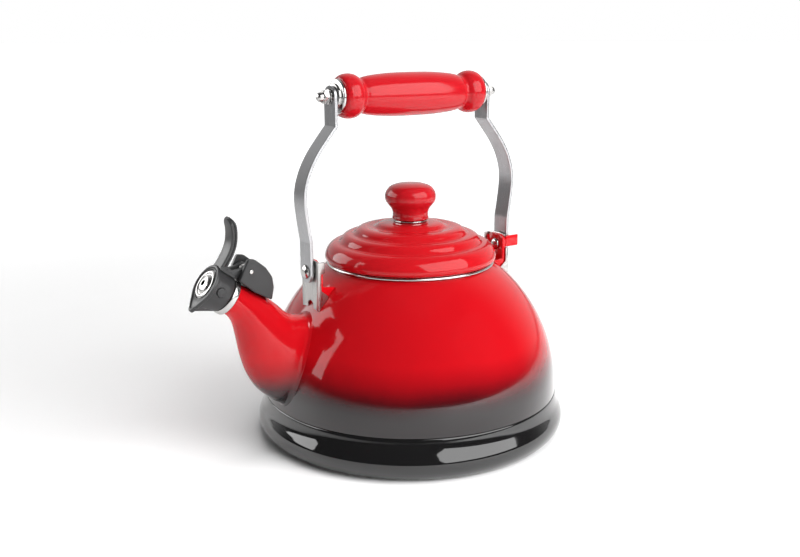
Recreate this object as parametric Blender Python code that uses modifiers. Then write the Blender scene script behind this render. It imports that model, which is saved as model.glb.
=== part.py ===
"""Stovetop whistling kettle: a lift-off lid, a swinging bail handle and a flip-up whistle.

The origin is the centre of the flat base, +Z is up, the spout points along -X and the
bail stands in the XZ plane. Front is the spout's side, rear the other. Lengths are in metres.
"""

import math

import bmesh
import bpy
from mathutils import Vector

# Body: a dome, the upper half of an ellipse turned about Z, on a pan with a wide ring
BODY_RADIUS = 0.1021
DOME_RISE = 0.1067
FOOT_HEIGHT = 0.0277
RING_OVERHANG = 0.0056
MOUTH_RADIUS = 0.0570
WALL = 0.0012
NECK_HEIGHT = 0.0060
BAND_HEIGHT = 0.0018
BAND_DEPTH = 0.0100

# Every pair of touching pieces keeps this gap
GAP = 0.0003

# Spout: where its tip's centre is, past the foot's radius and above the base
TIP_REACH = 0.0351
TIP_HEIGHT = FOOT_HEIGHT + 0.7957 * DOME_RISE
TIP_ANGLE = math.radians(35.5)
TIP_RADIUS = 0.0103
NOZZLE_RADIUS = 0.0094
NOZZLE_LENGTH = 0.0030
FERRULE_RADIUS = 0.0124
FERRULE_LENGTH = 0.0024

# Lid and knob; heights are above the seat on the rim band
LID_OVERHANG = 0.0019
LID_HEIGHT = 0.0266
SKIRT_DEPTH = 0.0093
SCREW_RADIUS = 0.0024
KNOB_RADIUS = 0.0174
KNOB_NECK_RADIUS = 0.0124
KNOB_HEIGHT = 0.0247

# Bail: half its width at the pivots, the grip's height above them, and the straps
PIVOT_SPREAD = 0.0806
PIVOT_ABOVE_SEAT = 0.0018
GRIP_ABOVE_PIVOT = 0.1105
STRAP_WIDTH = 0.0140
STRAP_THICKNESS = 0.0020
STRAP_FOOT = 0.0075
SHOULDER_DROP = 0.0185
GRIP_LENGTH = 0.1100
GRIP_RADIUS = 0.0145
ROD_RADIUS = 0.0025
CUP_LENGTH = 0.0039
WASHER_THICKNESS = 0.0010
NUT_LENGTH = 0.0076

# Pivots: rivet, washer, steel bracket and enamelled lug, from the outside inwards
RIVET_RADIUS = 0.0026
PIVOT_WASHER = 0.0004
BRACKET_SHEET = 0.0012
LUG_SHEET = 0.0015
LUG_HALF_WIDTH = 0.0096
STOP_REACH = 0.0070
STOP_HEIGHT = 0.0070
STRAP_TO_STOP = 0.0012

# Whistle: the hinge pin's place ahead of the spout's tip and above its axis, and the cap
PIN_AHEAD = -0.0019
PIN_ABOVE = 0.0200
PIN_RADIUS = 0.0013
CAP_RADIUS = 0.0130
CAP_REAR_RADIUS = 0.0123
CAP_LENGTH = 0.0165
CAP_BORE = 0.0106
PLUG_RADIUS = 0.0028
PLUG_AHEAD = 0.0100
BEAK_REACH = 0.0192
DISC_RADIUS = 0.0098
DISC_THICKNESS = 0.0006
LEVER_WIDTH = 0.0120
ARM_THICKNESS = 0.0028
BLOCK_HALF_WIDTH = 0.0100
CHEEK_THICKNESS = 0.0028

# Faces round a turned piece: large, middling and small ones
LARGE, MIDDLE, SMALL = 36, 20, 12

parts = bpy.data.collections.new("whistling_kettle")
cutters = bpy.data.collections.new("cutters")


def clear_scene():
    for obj in list(bpy.data.objects):
        bpy.data.objects.remove(obj)
    for collection in (parts, cutters):
        bpy.context.scene.collection.children.link(collection)


def finish(name, colour, roughness, metallic=0.0):
    material = bpy.data.materials.new(name)
    material.use_nodes = True
    shader = material.node_tree.nodes["Principled BSDF"]
    shader.inputs["Base Color"].default_value = (*colour, 1.0)
    shader.inputs["Roughness"].default_value = roughness
    shader.inputs["Metallic"].default_value = metallic
    return material


# Outlines ---------------------------------------------------------------------------------


def arc(centre, radius, start, end, spans):
    """Points on an arc, with its angles in degrees from the first axis."""
    angles = [math.radians(start + (end - start) * i / spans) for i in range(spans + 1)]
    return [(centre[0] + radius * math.cos(a), centre[1] + radius * math.sin(a)) for a in angles]


def smooth(points, spans):
    """A smooth curve through the points, with this many spans between neighbours."""
    ends = [points[0], *points, points[-1]]
    curve = []
    for a, b, c, d in zip(ends, ends[1:], ends[2:], ends[3:]):
        for i in range(spans):
            t = i / spans
            weights = (
                -0.5 * t + t * t - 0.5 * t**3,
                1 - 2.5 * t * t + 1.5 * t**3,
                0.5 * t + 2 * t * t - 1.5 * t**3,
                -0.5 * t * t + 0.5 * t**3,
            )
            values = zip(a, b, c, d)
            curve.append(tuple(sum(w * v for w, v in zip(weights, four)) for four in values))
    return [*curve, tuple(points[-1])]


def ribbon(path, thickness):
    """The closed outline of a strip of this thickness along a path."""
    sides = [[], []]
    for i, point in enumerate(path):
        before = path[max(i - 1, 0)]
        after = path[min(i + 1, len(path) - 1)]
        along = Vector((after[0] - before[0], after[1] - before[1])).normalized()
        for side, sign in zip(sides, (1, -1)):
            offset = Vector((-along.y, along.x)) * sign * thickness / 2
            side.append((point[0] + offset.x, point[1] + offset.y))
    return sides[0] + sides[1][::-1]


# Making solids ----------------------------------------------------------------------------


def add(name, data, look, parent=None, at=(0, 0, 0), turn=(0, 0, 0)):
    """A part when it has a look, and a cutter when it has none."""
    obj = bpy.data.objects.new(name, data)
    (parts if look else cutters).objects.link(obj)
    obj.parent = parent
    obj.location = at
    obj.rotation_euler = turn
    if look:
        data.materials.append(look)
    else:
        obj.hide_render = True
        obj.display_type = "WIRE"
    return obj


def guide(name, parent=None, at=(0, 0, 0), turn=(0, 0, 0)):
    """An empty that carries pieces, on their joint's axis if they move."""
    empty = bpy.data.objects.new(name, None)
    parts.objects.link(empty)
    empty.parent = parent
    empty.location = at
    empty.rotation_euler = turn
    return empty


def turned(name, outline, look, parent=None, steps=LARGE, wall=0.0, closed=False, **place):
    """An outline of (radius, height) turned about Z; a wall gives an open one its thickness."""
    edges = [(i, i + 1) for i in range(len(outline) - 1)]
    if closed:
        edges.append((len(outline) - 1, 0))
    mesh = bpy.data.meshes.new(name)
    mesh.from_pydata([(radius, 0, height) for radius, height in outline], edges, [])
    obj = add(name, mesh, look, parent, **place)
    screw = obj.modifiers.new("turn", "SCREW")
    screw.steps = screw.render_steps = steps
    screw.use_merge_vertices = True
    screw.merge_threshold = 0.00001
    if wall:
        shell = obj.modifiers.new("wall", "SOLIDIFY")
        shell.thickness = wall
        shell.offset = -1
        shell.use_even_offset = True
    return obj


def cylinder(name, radius, length, look, parent=None, sides=SMALL, **place):
    """A cylinder along its own Z, centred on its origin."""
    mesh = bpy.data.meshes.new(name)
    shape = bmesh.new()
    bmesh.ops.create_cone(
        shape, cap_ends=True, segments=sides, radius1=radius, radius2=radius, depth=length
    )
    shape.to_mesh(mesh)
    shape.free()
    mesh.shade_smooth()
    mesh.set_sharp_from_angle(angle=math.radians(40))
    return add(name, mesh, look, parent, **place)


def plate(name, outline, thickness, look, parent=None, at=(0, 0, 0), turn=(0, 0, 0)):
    """A closed outline in the XY plane, given its thickness to both sides and made a mesh."""
    curve = bpy.data.curves.new(name, "CURVE")
    curve.dimensions = "2D"
    curve.fill_mode = "BOTH"
    curve.extrude = thickness / 2
    spline = curve.splines.new("POLY")
    spline.points.add(len(outline) - 1)
    for point, (x, y) in zip(spline.points, outline):
        point.co = (x, y, 0, 1)
    spline.use_cyclic_u = True
    drawing = bpy.data.objects.new(name, curve)
    cutters.objects.link(drawing)
    graph = bpy.context.evaluated_depsgraph_get()
    mesh = bpy.data.meshes.new_from_object(drawing.evaluated_get(graph))
    bpy.data.objects.remove(drawing)
    shape = bmesh.new()
    shape.from_mesh(mesh)
    bmesh.ops.remove_doubles(shape, verts=shape.verts, dist=0.000001)
    bmesh.ops.recalc_face_normals(shape, faces=shape.faces)
    shape.to_mesh(mesh)
    shape.free()
    mesh.materials.clear()
    return add(name, mesh, look, parent, at, turn)


def loft(name, rings, look, parent=None, wall=0.0, **place):
    """Rings of equal count, skinned in order; capped, or open with a wall."""
    mesh = bpy.data.meshes.new(name)
    shape = bmesh.new()
    rows = [[shape.verts.new(point) for point in ring] for ring in rings]
    for low, high in zip(rows, rows[1:]):
        for i in range(len(low)):
            j = (i + 1) % len(low)
            shape.faces.new((low[j], low[i], high[i], high[j]))
    if not wall:
        shape.faces.new(rows[0])
        shape.faces.new(rows[-1][::-1])
        bmesh.ops.recalc_face_normals(shape, faces=shape.faces)
    shape.to_mesh(mesh)
    shape.free()
    mesh.shade_smooth()
    obj = add(name, mesh, look, parent, **place)
    if wall:
        shell = obj.modifiers.new("wall", "SOLIDIFY")
        shell.thickness = wall
        shell.offset = -1
        shell.use_even_offset = True
    return obj


def cut(obj, *tools, keep=False):
    """Take the tools away from the piece, or keep only what lies inside them."""
    for tool in tools:
        boolean = obj.modifiers.new(tool.name, "BOOLEAN")
        boolean.operation = "INTERSECT" if keep else "DIFFERENCE"
        boolean.object = tool
    return obj


ALONG_X = (0, math.pi / 2, 0)
ALONG_Y = (math.pi / 2, 0, 0)


# Body -------------------------------------------------------------------------------------


def dome_height(radius, offset=0.0):
    share = radius / (BODY_RADIUS + offset)
    return FOOT_HEIGHT + (DOME_RISE + offset) * math.sqrt(1 - share**2)


def dome_outline(top_radius, offset=0.0, spans=11):
    """The dome's outline, from the top radius down to its foot."""
    start = math.acos(top_radius / (BODY_RADIUS + offset))
    angles = [start * (1 - i / spans) for i in range(spans + 1)]
    return [
        (
            (BODY_RADIUS + offset) * math.cos(a),
            FOOT_HEIGHT + (DOME_RISE + offset) * math.sin(a),
        )
        for a in angles
    ]


MOUTH_HEIGHT = dome_height(MOUTH_RADIUS)
SEAT_HEIGHT = MOUTH_HEIGHT + GAP + BAND_HEIGHT
PIVOT_HEIGHT = SEAT_HEIGHT + PIVOT_ABOVE_SEAT


def dome_tool():
    """A solid a gap larger than the dome, which pieces that stand on it are cut with."""
    outline = dome_outline(0.0, GAP, spans=17)
    outline += [(BODY_RADIUS + GAP, 0.0), (0.0, 0.0)]
    return turned("dome_tool", outline, None)


def body_shell(look):
    outline = dome_outline(MOUTH_RADIUS)
    outline[-1] = (BODY_RADIUS, FOOT_HEIGHT + 2 * GAP)
    shell = turned("body_shell", outline, look, wall=WALL)
    return cut(shell, spout_solid("spout_bore", inset=WALL + GAP, last=5))


def base_pan(look):
    """The pan's neck stands inside the dome's foot, and its ring bulges out below it."""
    neck = BODY_RADIUS - WALL - 2 * GAP
    ring = BODY_RADIUS + RING_OVERHANG
    outline = [
        (neck, FOOT_HEIGHT + NECK_HEIGHT),
        (neck, FOOT_HEIGHT),
        (BODY_RADIUS - GAP, FOOT_HEIGHT - GAP),
        (ring - 0.0048, FOOT_HEIGHT - 0.0030),
        (ring - 0.0030, FOOT_HEIGHT - 0.0080),
        (ring - 0.0006, FOOT_HEIGHT - 0.0135),
        (ring, 0.0100),
        (ring - 0.0008, 0.0062),
        (ring - 0.0030, 0.0030),
        (ring - 0.0063, 0.0008),
        (ring - 0.0100, 0.0),
        (0.0, 0.0),
    ]
    return turned("base_pan", outline, look, wall=WALL)


def rim_band(look):
    """A band rolled over the mouth's edge, with a skirt that lines the mouth."""
    inner = MOUTH_RADIUS - 0.0021
    low = MOUTH_HEIGHT + GAP
    top = low + BAND_HEIGHT
    outline = [
        (inner, top - 0.0008),
        (inner + 0.0008, top),
        (MOUTH_RADIUS, top),
        (MOUTH_RADIUS + 0.0006, top - 0.0006),
        (MOUTH_RADIUS + 0.0006, low + GAP / 2),
        (MOUTH_RADIUS - WALL, low + GAP / 2),
        (inner + 0.0008, low - 0.0012),
        (inner + 0.0008, low - BAND_DEPTH),
        (inner, low - BAND_DEPTH),
    ]
    return turned("rim_band", outline, look, closed=True)


# Spout ------------------------------------------------------------------------------------

# Each section of the spout: its centre's reach past the foot's radius, that centre's height
# above the foot and half the section's height as shares of the dome's rise, half its width,
# and how far it leans back, in degrees
SPOUT_SECTIONS = [
    (-0.0460, 0.2652, 0.2624, 0.0172, 8),
    (-0.0131, 0.3215, 0.2840, 0.0172, 17),
    (-0.0006, 0.3777, 0.2615, 0.0173, 28),
    (0.0064, 0.4377, 0.2306, 0.0168, 38),
    (0.0115, 0.5201, 0.1903, 0.0158, 49),
    (0.0156, 0.6073, 0.1575, 0.0144, 54),
    (0.0206, 0.6851, 0.1256, 0.0126, 53),
    (0.0264, 0.7376, 0.1040, 0.0111, 45),
]


def section_ring(centre_x, centre_z, half_height, half_width, lean, count):
    """An upright oval in the XZ plane's direction of lean, anticlockwise seen from outside."""
    up = Vector((math.sin(lean), 0, math.cos(lean)))
    ring = []
    for i in range(count):
        angle = 2 * math.pi * i / count
        sideways = Vector((0, -half_width * math.sin(angle), 0))
        ring.append(Vector((centre_x, 0, centre_z)) + up * half_height * math.cos(angle) + sideways)
    return ring


def spout_rings(inset=0.0, last=None, count=MIDDLE):
    """The spout's rings from the root to the tip, or as far as the last section asked for."""
    sections = [
        (
            -BODY_RADIUS - reach,
            FOOT_HEIGHT + rise * DOME_RISE,
            half_rise * DOME_RISE,
            half_width,
            math.radians(lean),
        )
        for reach, rise, half_rise, half_width, lean in SPOUT_SECTIONS
    ]
    tip_x = -BODY_RADIUS - TIP_REACH
    for ahead, radius in (
        (-0.0046, TIP_RADIUS),
        (0.0002, TIP_RADIUS),
        (0.0014, NOZZLE_RADIUS),
        (NOZZLE_LENGTH, NOZZLE_RADIUS),
    ):
        centre_x = tip_x - ahead * math.cos(TIP_ANGLE)
        centre_z = TIP_HEIGHT + ahead * math.sin(TIP_ANGLE)
        sections.append((centre_x, centre_z, radius, radius, TIP_ANGLE))
    sections = sections[:last]
    curved = smooth(sections[: len(SPOUT_SECTIONS) + 1], 2) + sections[len(SPOUT_SECTIONS) + 1 :]
    return [
        section_ring(x, z, half_height - inset, half_width - inset, lean, count)
        for x, z, half_height, half_width, lean in curved
    ]


def spout_solid(name, inset, last=None):
    return loft(name, spout_rings(inset, last), None)


def spout(look, dome, rivet_hole):
    tube = loft("spout", spout_rings(), look, wall=WALL)
    return cut(tube, rivet_hole, dome)


def spout_ferrule(look, tip):
    bore = TIP_RADIUS + GAP
    rear = GAP - FERRULE_LENGTH
    outline = [
        (FERRULE_RADIUS - 0.0002, GAP / 2),
        (FERRULE_RADIUS, -0.0006),
        (FERRULE_RADIUS - 0.0001, rear + 0.0008),
        (FERRULE_RADIUS - 0.0008, rear),
        (bore, rear),
        (bore, GAP / 2),
    ]
    return turned("spout_ferrule", outline, look, tip, steps=MIDDLE, closed=True)


# Lid; heights are above its seat ----------------------------------------------------------


def lid_shell(look, seat):
    """Three stepped rings, with an edge that curls under onto the rim band."""
    edge = MOUTH_RADIUS + LID_OVERHANG
    top = LID_HEIGHT
    outline = [
        (SCREW_RADIUS + 2 * GAP, top),
        (KNOB_NECK_RADIUS, top),
        (0.363 * edge, top - 0.0008),
        (0.423 * edge, top - 0.0027),
        (0.567 * edge, top - 0.0030),
        (0.652 * edge, top - 0.0062),
        (0.745 * edge, top - 0.0078),
        (0.823 * edge, top - 0.0122),
        (0.898 * edge, top - 0.0132),
        (0.954 * edge, top - 0.0165),
        (0.990 * edge, top - 0.0195),
        (edge, top - 0.0222),
        (edge - 0.0004, 0.0022),
        (edge - 0.0014, 0.0008),
        (edge - 0.0026, GAP + 0.0001),
    ]
    return turned("lid_shell", outline, look, seat, wall=WALL)


def lid_skirt(look, seat):
    outer = MOUTH_RADIUS - 0.0027
    inner = outer - 0.0008
    top = 0.0100
    outline = [(inner, top), (outer, top), (outer, -SKIRT_DEPTH), (inner, -SKIRT_DEPTH)]
    return turned("lid_skirt", outline, look, seat, closed=True)


def knob_washer(look, seat):
    low = LID_HEIGHT + GAP
    hole = SCREW_RADIUS + GAP
    outline = [
        (hole, low + 0.0011),
        (0.0110, low + 0.0011),
        (0.0115, low + 0.0006),
        (0.0115, low),
        (hole, low),
    ]
    return turned("knob_washer", outline, look, seat, MIDDLE, closed=True)


KNOB_LOW = LID_HEIGHT + 0.0011 + 2 * GAP
SCREW_IN_KNOB = 0.0140


def lid_knob(look, seat):
    """A mushroom with a blind hole for the screw."""
    wide = KNOB_LOW + KNOB_HEIGHT - 0.0093
    top = KNOB_LOW + KNOB_HEIGHT
    bore = SCREW_RADIUS + GAP
    outline = [
        (0.0, top),
        (KNOB_RADIUS - 0.0081, top - 0.0007),
        (KNOB_RADIUS - 0.0040, top - 0.0022),
        (KNOB_RADIUS - 0.0017, top - 0.0042),
        (KNOB_RADIUS - 0.0003, wide + 0.0026),
        (KNOB_RADIUS, wide),
        (KNOB_RADIUS - 0.0005, wide - 0.0028),
        (KNOB_RADIUS - 0.0018, wide - 0.0048),
        (KNOB_NECK_RADIUS + 0.0014, wide - 0.0068),
        (KNOB_NECK_RADIUS + 0.0003, wide - 0.0090),
        (KNOB_NECK_RADIUS, wide - 0.0110),
        (KNOB_NECK_RADIUS, KNOB_LOW),
        (bore, KNOB_LOW),
        (bore, KNOB_LOW + SCREW_IN_KNOB + GAP),
        (0.0, KNOB_LOW + SCREW_IN_KNOB + GAP),
    ]
    return turned("lid_knob", outline, look, seat, MIDDLE)


def knob_screw_washer(look, seat):
    top = LID_HEIGHT - WALL - GAP
    hole = SCREW_RADIUS + GAP
    outline = [(hole, top), (0.0075, top), (0.0075, top - 0.0009), (hole, top - 0.0009)]
    return turned("knob_screw_washer", outline, look, seat, SMALL, closed=True)


def knob_screw(look, seat):
    head = LID_HEIGHT - WALL - 0.0009 - 2 * GAP
    outline = [
        (0.0, KNOB_LOW + SCREW_IN_KNOB),
        (SCREW_RADIUS - 0.0005, KNOB_LOW + SCREW_IN_KNOB),
        (SCREW_RADIUS, KNOB_LOW + SCREW_IN_KNOB - 0.0005),
        (SCREW_RADIUS, head),
        (0.0048, head),
        (0.0046, head - 0.0014),
        (0.0030, head - 0.0024),
        (0.0, head - 0.0027),
    ]
    return turned("knob_screw", outline, look, seat, SMALL)


# Pivots of the bail; outside and inside are distances from the middle of the kettle -------

STRAP_INSIDE = PIVOT_SPREAD - STRAP_THICKNESS / 2
BRACKET_OUTSIDE = STRAP_INSIDE - 2 * GAP - PIVOT_WASHER
LUG_OUTSIDE = BRACKET_OUTSIDE - BRACKET_SHEET - GAP
LUG_INSIDE = LUG_OUTSIDE - LUG_SHEET
BRACKET_HALF_WIDTH = LUG_HALF_WIDTH + GAP + BRACKET_SHEET
STOP_INSIDE = STRAP_WIDTH / 2 + STRAP_TO_STOP
STOP_LOW = 0.0010


def channel(name, side, outside, sheet, half_width, profile, top, look, tools):
    """A sheet bent to a channel whose flanges point at the middle and stand on the dome.

    The profile is its side view, as (distance from the middle, height), and top its upper
    edge seen from the front, as (sideways, height) with sideways from -1 to 1.
    """
    inside = min(distance for distance, height in profile)
    low = dome_height(min(outside + 0.004, BODY_RADIUS)) - 0.010
    plan = [
        (side * outside, half_width),
        (side * outside, -half_width),
        (side * inside, -half_width),
        (side * inside, sheet - half_width),
        (side * (outside - sheet), sheet - half_width),
        (side * (outside - sheet), half_width - sheet),
        (side * inside, half_width - sheet),
        (side * inside, half_width),
    ]
    high = max(height for sideways, height in top) + 0.002
    bent = plate(name, plan, high - low, look, at=(0, 0, (high + low) / 2))
    margin = 0.003
    side_view = [
        (side * (outside + margin), low - margin),
        (side * (outside + margin), high + margin),
        *[(side * distance, height) for distance, height in profile],
        (side * profile[-1][0], low - margin),
    ]
    front_view = [
        (-half_width - margin, low - margin),
        *[(sideways * (half_width + margin), height) for sideways, height in top],
        (half_width + margin, low - margin),
    ]
    turn_front = (math.pi / 2, 0, math.pi / 2)
    cut(
        bent,
        plate(name + "_side", side_view, 4 * half_width, None, turn=ALONG_Y),
        plate(name + "_front", front_view, 0.4, None, turn=turn_front),
        keep=True,
    )
    return cut(bent, *tools)


def across(name, radius, side, middle, height, reach=0.009):
    """A round cutter along X, which reaches this far to both sides of its middle."""
    place = (side * middle, 0, height)
    return cylinder(name, radius, 2 * reach, None, at=place, turn=ALONG_X)


def block_tool(name, low, high):
    """A box-shaped cutter between two corners."""
    mesh = bpy.data.meshes.new(name)
    shape = bmesh.new()
    bmesh.ops.create_cube(shape, size=1)
    size = Vector(high) - Vector(low)
    bmesh.ops.scale(shape, vec=size, verts=shape.verts)
    shape.to_mesh(mesh)
    shape.free()
    return add(name, mesh, None, at=(Vector(low) + Vector(high)) / 2)


def bracket(end, side, look, dome):
    """The stainless channel outside the lug, with a notched lower edge and two ears."""
    flange = BRACKET_OUTSIDE - 0.0023
    ear = BRACKET_OUTSIDE - 0.0051
    profile = [
        (ear, PIVOT_HEIGHT + 0.0120),
        (ear, PIVOT_HEIGHT + 0.0003),
        (flange, PIVOT_HEIGHT - 0.0005),
        (flange, PIVOT_HEIGHT - 0.0114),
        (BRACKET_OUTSIDE - 0.0090, PIVOT_HEIGHT - 0.0170),
    ]
    crown = 0.0085
    top = [(-1, PIVOT_HEIGHT + 0.0060), (-0.6, PIVOT_HEIGHT + 0.0078)]
    top += [(0, PIVOT_HEIGHT + crown)]
    top += [(0.6, PIVOT_HEIGHT + 0.0078), (1, PIVOT_HEIGHT + 0.0060)]
    low = dome_height(BRACKET_OUTSIDE)
    tools = [
        dome,
        across(end + "_bracket_hole", RIVET_RADIUS + GAP, side, BRACKET_OUTSIDE, PIVOT_HEIGHT),
        across(end + "_bracket_notch", 0.0040, side, BRACKET_OUTSIDE, low + 0.0010, 0.003),
    ]
    if side > 0:
        low_corner = (LUG_INSIDE - STOP_REACH, -2 * BRACKET_HALF_WIDTH, PIVOT_HEIGHT - STOP_LOW - 2 * GAP)
        high_corner = (PIVOT_SPREAD, 2 * GAP - STOP_INSIDE, PIVOT_HEIGHT + 2 * STRAP_WIDTH)
        tools.append(block_tool("stop_notch", low_corner, high_corner))
    return channel(
        end + "_bracket",
        side,
        BRACKET_OUTSIDE,
        BRACKET_SHEET,
        BRACKET_HALF_WIDTH,
        profile,
        top,
        look,
        tools,
    )


def lug(end, side, look, dome):
    """The enamelled channel that the pivot rivet is set in."""
    flange = LUG_OUTSIDE - 0.0027
    profile = [
        (flange, PIVOT_HEIGHT + 0.0120),
        (flange, PIVOT_HEIGHT - 0.0095),
        (LUG_OUTSIDE - 0.0115, PIVOT_HEIGHT - 0.0105),
    ]
    top = [(-0.95, PIVOT_HEIGHT + 0.0010), (-0.70, PIVOT_HEIGHT + 0.0055)]
    top += [(-0.35, PIVOT_HEIGHT + 0.0078), (0.35, PIVOT_HEIGHT + 0.0078)]
    top += [(0.70, PIVOT_HEIGHT + 0.0055), (0.95, PIVOT_HEIGHT + 0.0010)]
    hole = across(end + "_lug_hole", RIVET_RADIUS + GAP, side, LUG_OUTSIDE, PIVOT_HEIGHT)
    return channel(
        end + "_lug", side, LUG_OUTSIDE, LUG_SHEET, LUG_HALF_WIDTH, profile, top, look, [dome, hole]
    )


def bail_stop(look):
    """The tab that the rear strap leans on when the bail swings to -Y."""
    thickness = LUG_SHEET
    reach = PIVOT_SPREAD + STRAP_THICKNESS / 2 + STOP_REACH
    outline = [
        (LUG_OUTSIDE + GAP, -STOP_LOW),
        (reach, -STOP_LOW),
        (reach, STOP_HEIGHT),
        (LUG_OUTSIDE + GAP, STOP_HEIGHT),
    ]
    middle = -STOP_INSIDE - thickness / 2
    place = (0, middle, PIVOT_HEIGHT)
    return plate("bail_stop", outline, thickness, look, at=place, turn=ALONG_Y)


def pivot_rivet(end, side, look, axis):
    """A domed head outside the strap, a shank, and a tail spread inside the lug."""
    outside = PIVOT_SPREAD + STRAP_THICKNESS / 2 + GAP
    inside = LUG_INSIDE - GAP
    outline = [
        (0.0, outside + 0.0021),
        (0.0026, outside + 0.0017),
        (0.0041, outside + 0.0008),
        (0.0046, outside),
        (RIVET_RADIUS, outside),
        (RIVET_RADIUS, inside),
        (0.0040, inside),
        (0.0036, inside - 0.0012),
        (0.0022, inside - 0.0021),
        (0.0, inside - 0.0024),
    ]
    turn = (0, side * math.pi / 2, 0)
    return turned(end + "_pivot_rivet", outline, look, axis, SMALL, turn=turn)


def pivot_washer(end, side, look, axis):
    low = BRACKET_OUTSIDE + GAP
    high = low + PIVOT_WASHER
    hole = RIVET_RADIUS + GAP
    outline = [(hole, high), (0.0056, high), (0.0056, low), (hole, low)]
    turn = (0, side * math.pi / 2, 0)
    return turned(end + "_pivot_washer", outline, look, axis, SMALL, closed=True, turn=turn)


# Bail; heights are above the pivots, distances along the grip from its middle --------------

CUP_INSIDE = GRIP_LENGTH / 2 + GAP
STRAP_TOP_INSIDE = CUP_INSIDE + CUP_LENGTH + GAP
STRAP_TOP_MIDDLE = STRAP_TOP_INSIDE + STRAP_THICKNESS / 2
WASHER_INSIDE = STRAP_TOP_INSIDE + STRAP_THICKNESS + GAP
NUT_INSIDE = WASHER_INSIDE + WASHER_THICKNESS + GAP

# The strap's path up to its shoulder: share of the height, bow outwards, share of the way in
STRAP_SHAPE = [
    (0.217, 0.0000, 0.00),
    (0.326, 0.0016, 0.00),
    (0.489, 0.0033, 0.00),
    (0.598, 0.0025, 0.00),
    (0.707, 0.0000, 0.04),
    (0.815, 0.0000, 0.32),
    (0.924, 0.0000, 0.71),
    (1.000, 0.0000, 1.00),
]


def strap(end, side, look, axis):
    """A flat strip, bowed out and then in to the grip, with round ends and two holes."""
    shoulder = GRIP_ABOVE_PIVOT - SHOULDER_DROP
    inward = PIVOT_SPREAD - STRAP_TOP_MIDDLE
    rise = [
        (side * (PIVOT_SPREAD + bow - inward * share_in), shoulder * share)
        for share, bow, share_in in STRAP_SHAPE
    ]
    end_radius = STRAP_WIDTH / 2
    top = GRIP_ABOVE_PIVOT + end_radius
    path = [(side * PIVOT_SPREAD, -STRAP_FOOT), *smooth(rise, 2)]
    path.append((side * STRAP_TOP_MIDDLE, top))
    strip = plate(
        end + "_strap",
        ribbon(path, STRAP_THICKNESS),
        STRAP_WIDTH,
        look,
        axis,
        turn=ALONG_Y,
    )
    flat = arc((0, GRIP_ABOVE_PIVOT), end_radius, 0, 180, 12)
    flat += arc((0, end_radius - STRAP_FOOT), end_radius, 180, 360, 12)
    turn_front = (math.pi / 2, 0, math.pi / 2)
    blank = plate(end + "_strap_blank", flat, 0.4, None, axis, turn=turn_front)
    cut(strip, blank, keep=True)
    pivot_height = PIVOT_HEIGHT
    grip_height = PIVOT_HEIGHT + GRIP_ABOVE_PIVOT
    return cut(
        strip,
        across(end + "_strap_hole", RIVET_RADIUS + GAP, side, PIVOT_SPREAD, pivot_height),
        across(end + "_rod_hole", ROD_RADIUS + GAP, side, STRAP_TOP_MIDDLE, grip_height),
    )


def grip(look, rod):
    """Turned, with a bead and a neck at each end and a barrel between them."""
    half = GRIP_LENGTH / 2
    bore = ROD_RADIUS + GAP
    from_end = [
        (0.0000, GRIP_RADIUS - 0.0036),
        (0.0010, GRIP_RADIUS - 0.0020),
        (0.0038, GRIP_RADIUS - 0.0006),
        (0.0075, GRIP_RADIUS - 0.0002),
        (0.0112, GRIP_RADIUS - 0.0008),
        (0.0142, GRIP_RADIUS - 0.0024),
        (0.0165, GRIP_RADIUS - 0.0030),
        (0.0190, GRIP_RADIUS - 0.0024),
        (0.0280, GRIP_RADIUS - 0.0010),
        (0.0400, GRIP_RADIUS - 0.0002),
    ]
    outer = [(radius, half - distance) for distance, radius in from_end]
    outer += [(radius, distance - half) for distance, radius in from_end[::-1]]
    outline = [*outer, (bore, -half), (bore, half)]
    return turned("grip", outline, look, rod, MIDDLE, closed=True)


def grip_rod(look, rod):
    return cylinder("grip_rod", ROD_RADIUS, 2 * (NUT_INSIDE + NUT_LENGTH - 0.0022), look, rod)


def end_cup(end, turn, look, rod):
    """A wide ring against the grip and a smaller boss against the strap."""
    bore = ROD_RADIUS + GAP
    high = CUP_INSIDE + CUP_LENGTH
    outline = [
        (bore, high),
        (0.0076, high),
        (0.0082, high - 0.0006),
        (0.0082, CUP_INSIDE + 0.0018),
        (0.0102, CUP_INSIDE + 0.0018),
        (0.0110, CUP_INSIDE + 0.0010),
        (0.0110, CUP_INSIDE),
        (bore, CUP_INSIDE),
    ]
    return turned(end + "_end_cup", outline, look, rod, MIDDLE, closed=True, turn=turn)


def lock_washer(end, turn, look, rod):
    bore = ROD_RADIUS + GAP
    high = WASHER_INSIDE + WASHER_THICKNESS
    outline = [(bore, high), (0.0050, high), (0.0050, WASHER_INSIDE), (bore, WASHER_INSIDE)]
    return turned(end + "_lock_washer", outline, look, rod, SMALL, closed=True, turn=turn)


def acorn_nut(end, turn, look, rod):
    """A hexagon with a dome, and a blind hole for the rod's end."""
    bore = ROD_RADIUS + GAP
    high = NUT_INSIDE + NUT_LENGTH
    outline = [
        (0.0, high),
        (0.0017, high - 0.0003),
        (0.0030, high - 0.0013),
        (0.0036, high - 0.0028),
        (0.0036, NUT_INSIDE + 0.0036),
        (0.0046, NUT_INSIDE + 0.0034),
        (0.0046, NUT_INSIDE),
        (bore, NUT_INSIDE),
        (bore, high - 0.0022 + GAP),
        (0.0, high - 0.0022 + GAP),
    ]
    return turned(end + "_acorn_nut", outline, look, rod, 12, turn=turn)


# Whistle; the pieces lie in the tip's frame: +X is away from its axis, +Z is outwards -----


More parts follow.
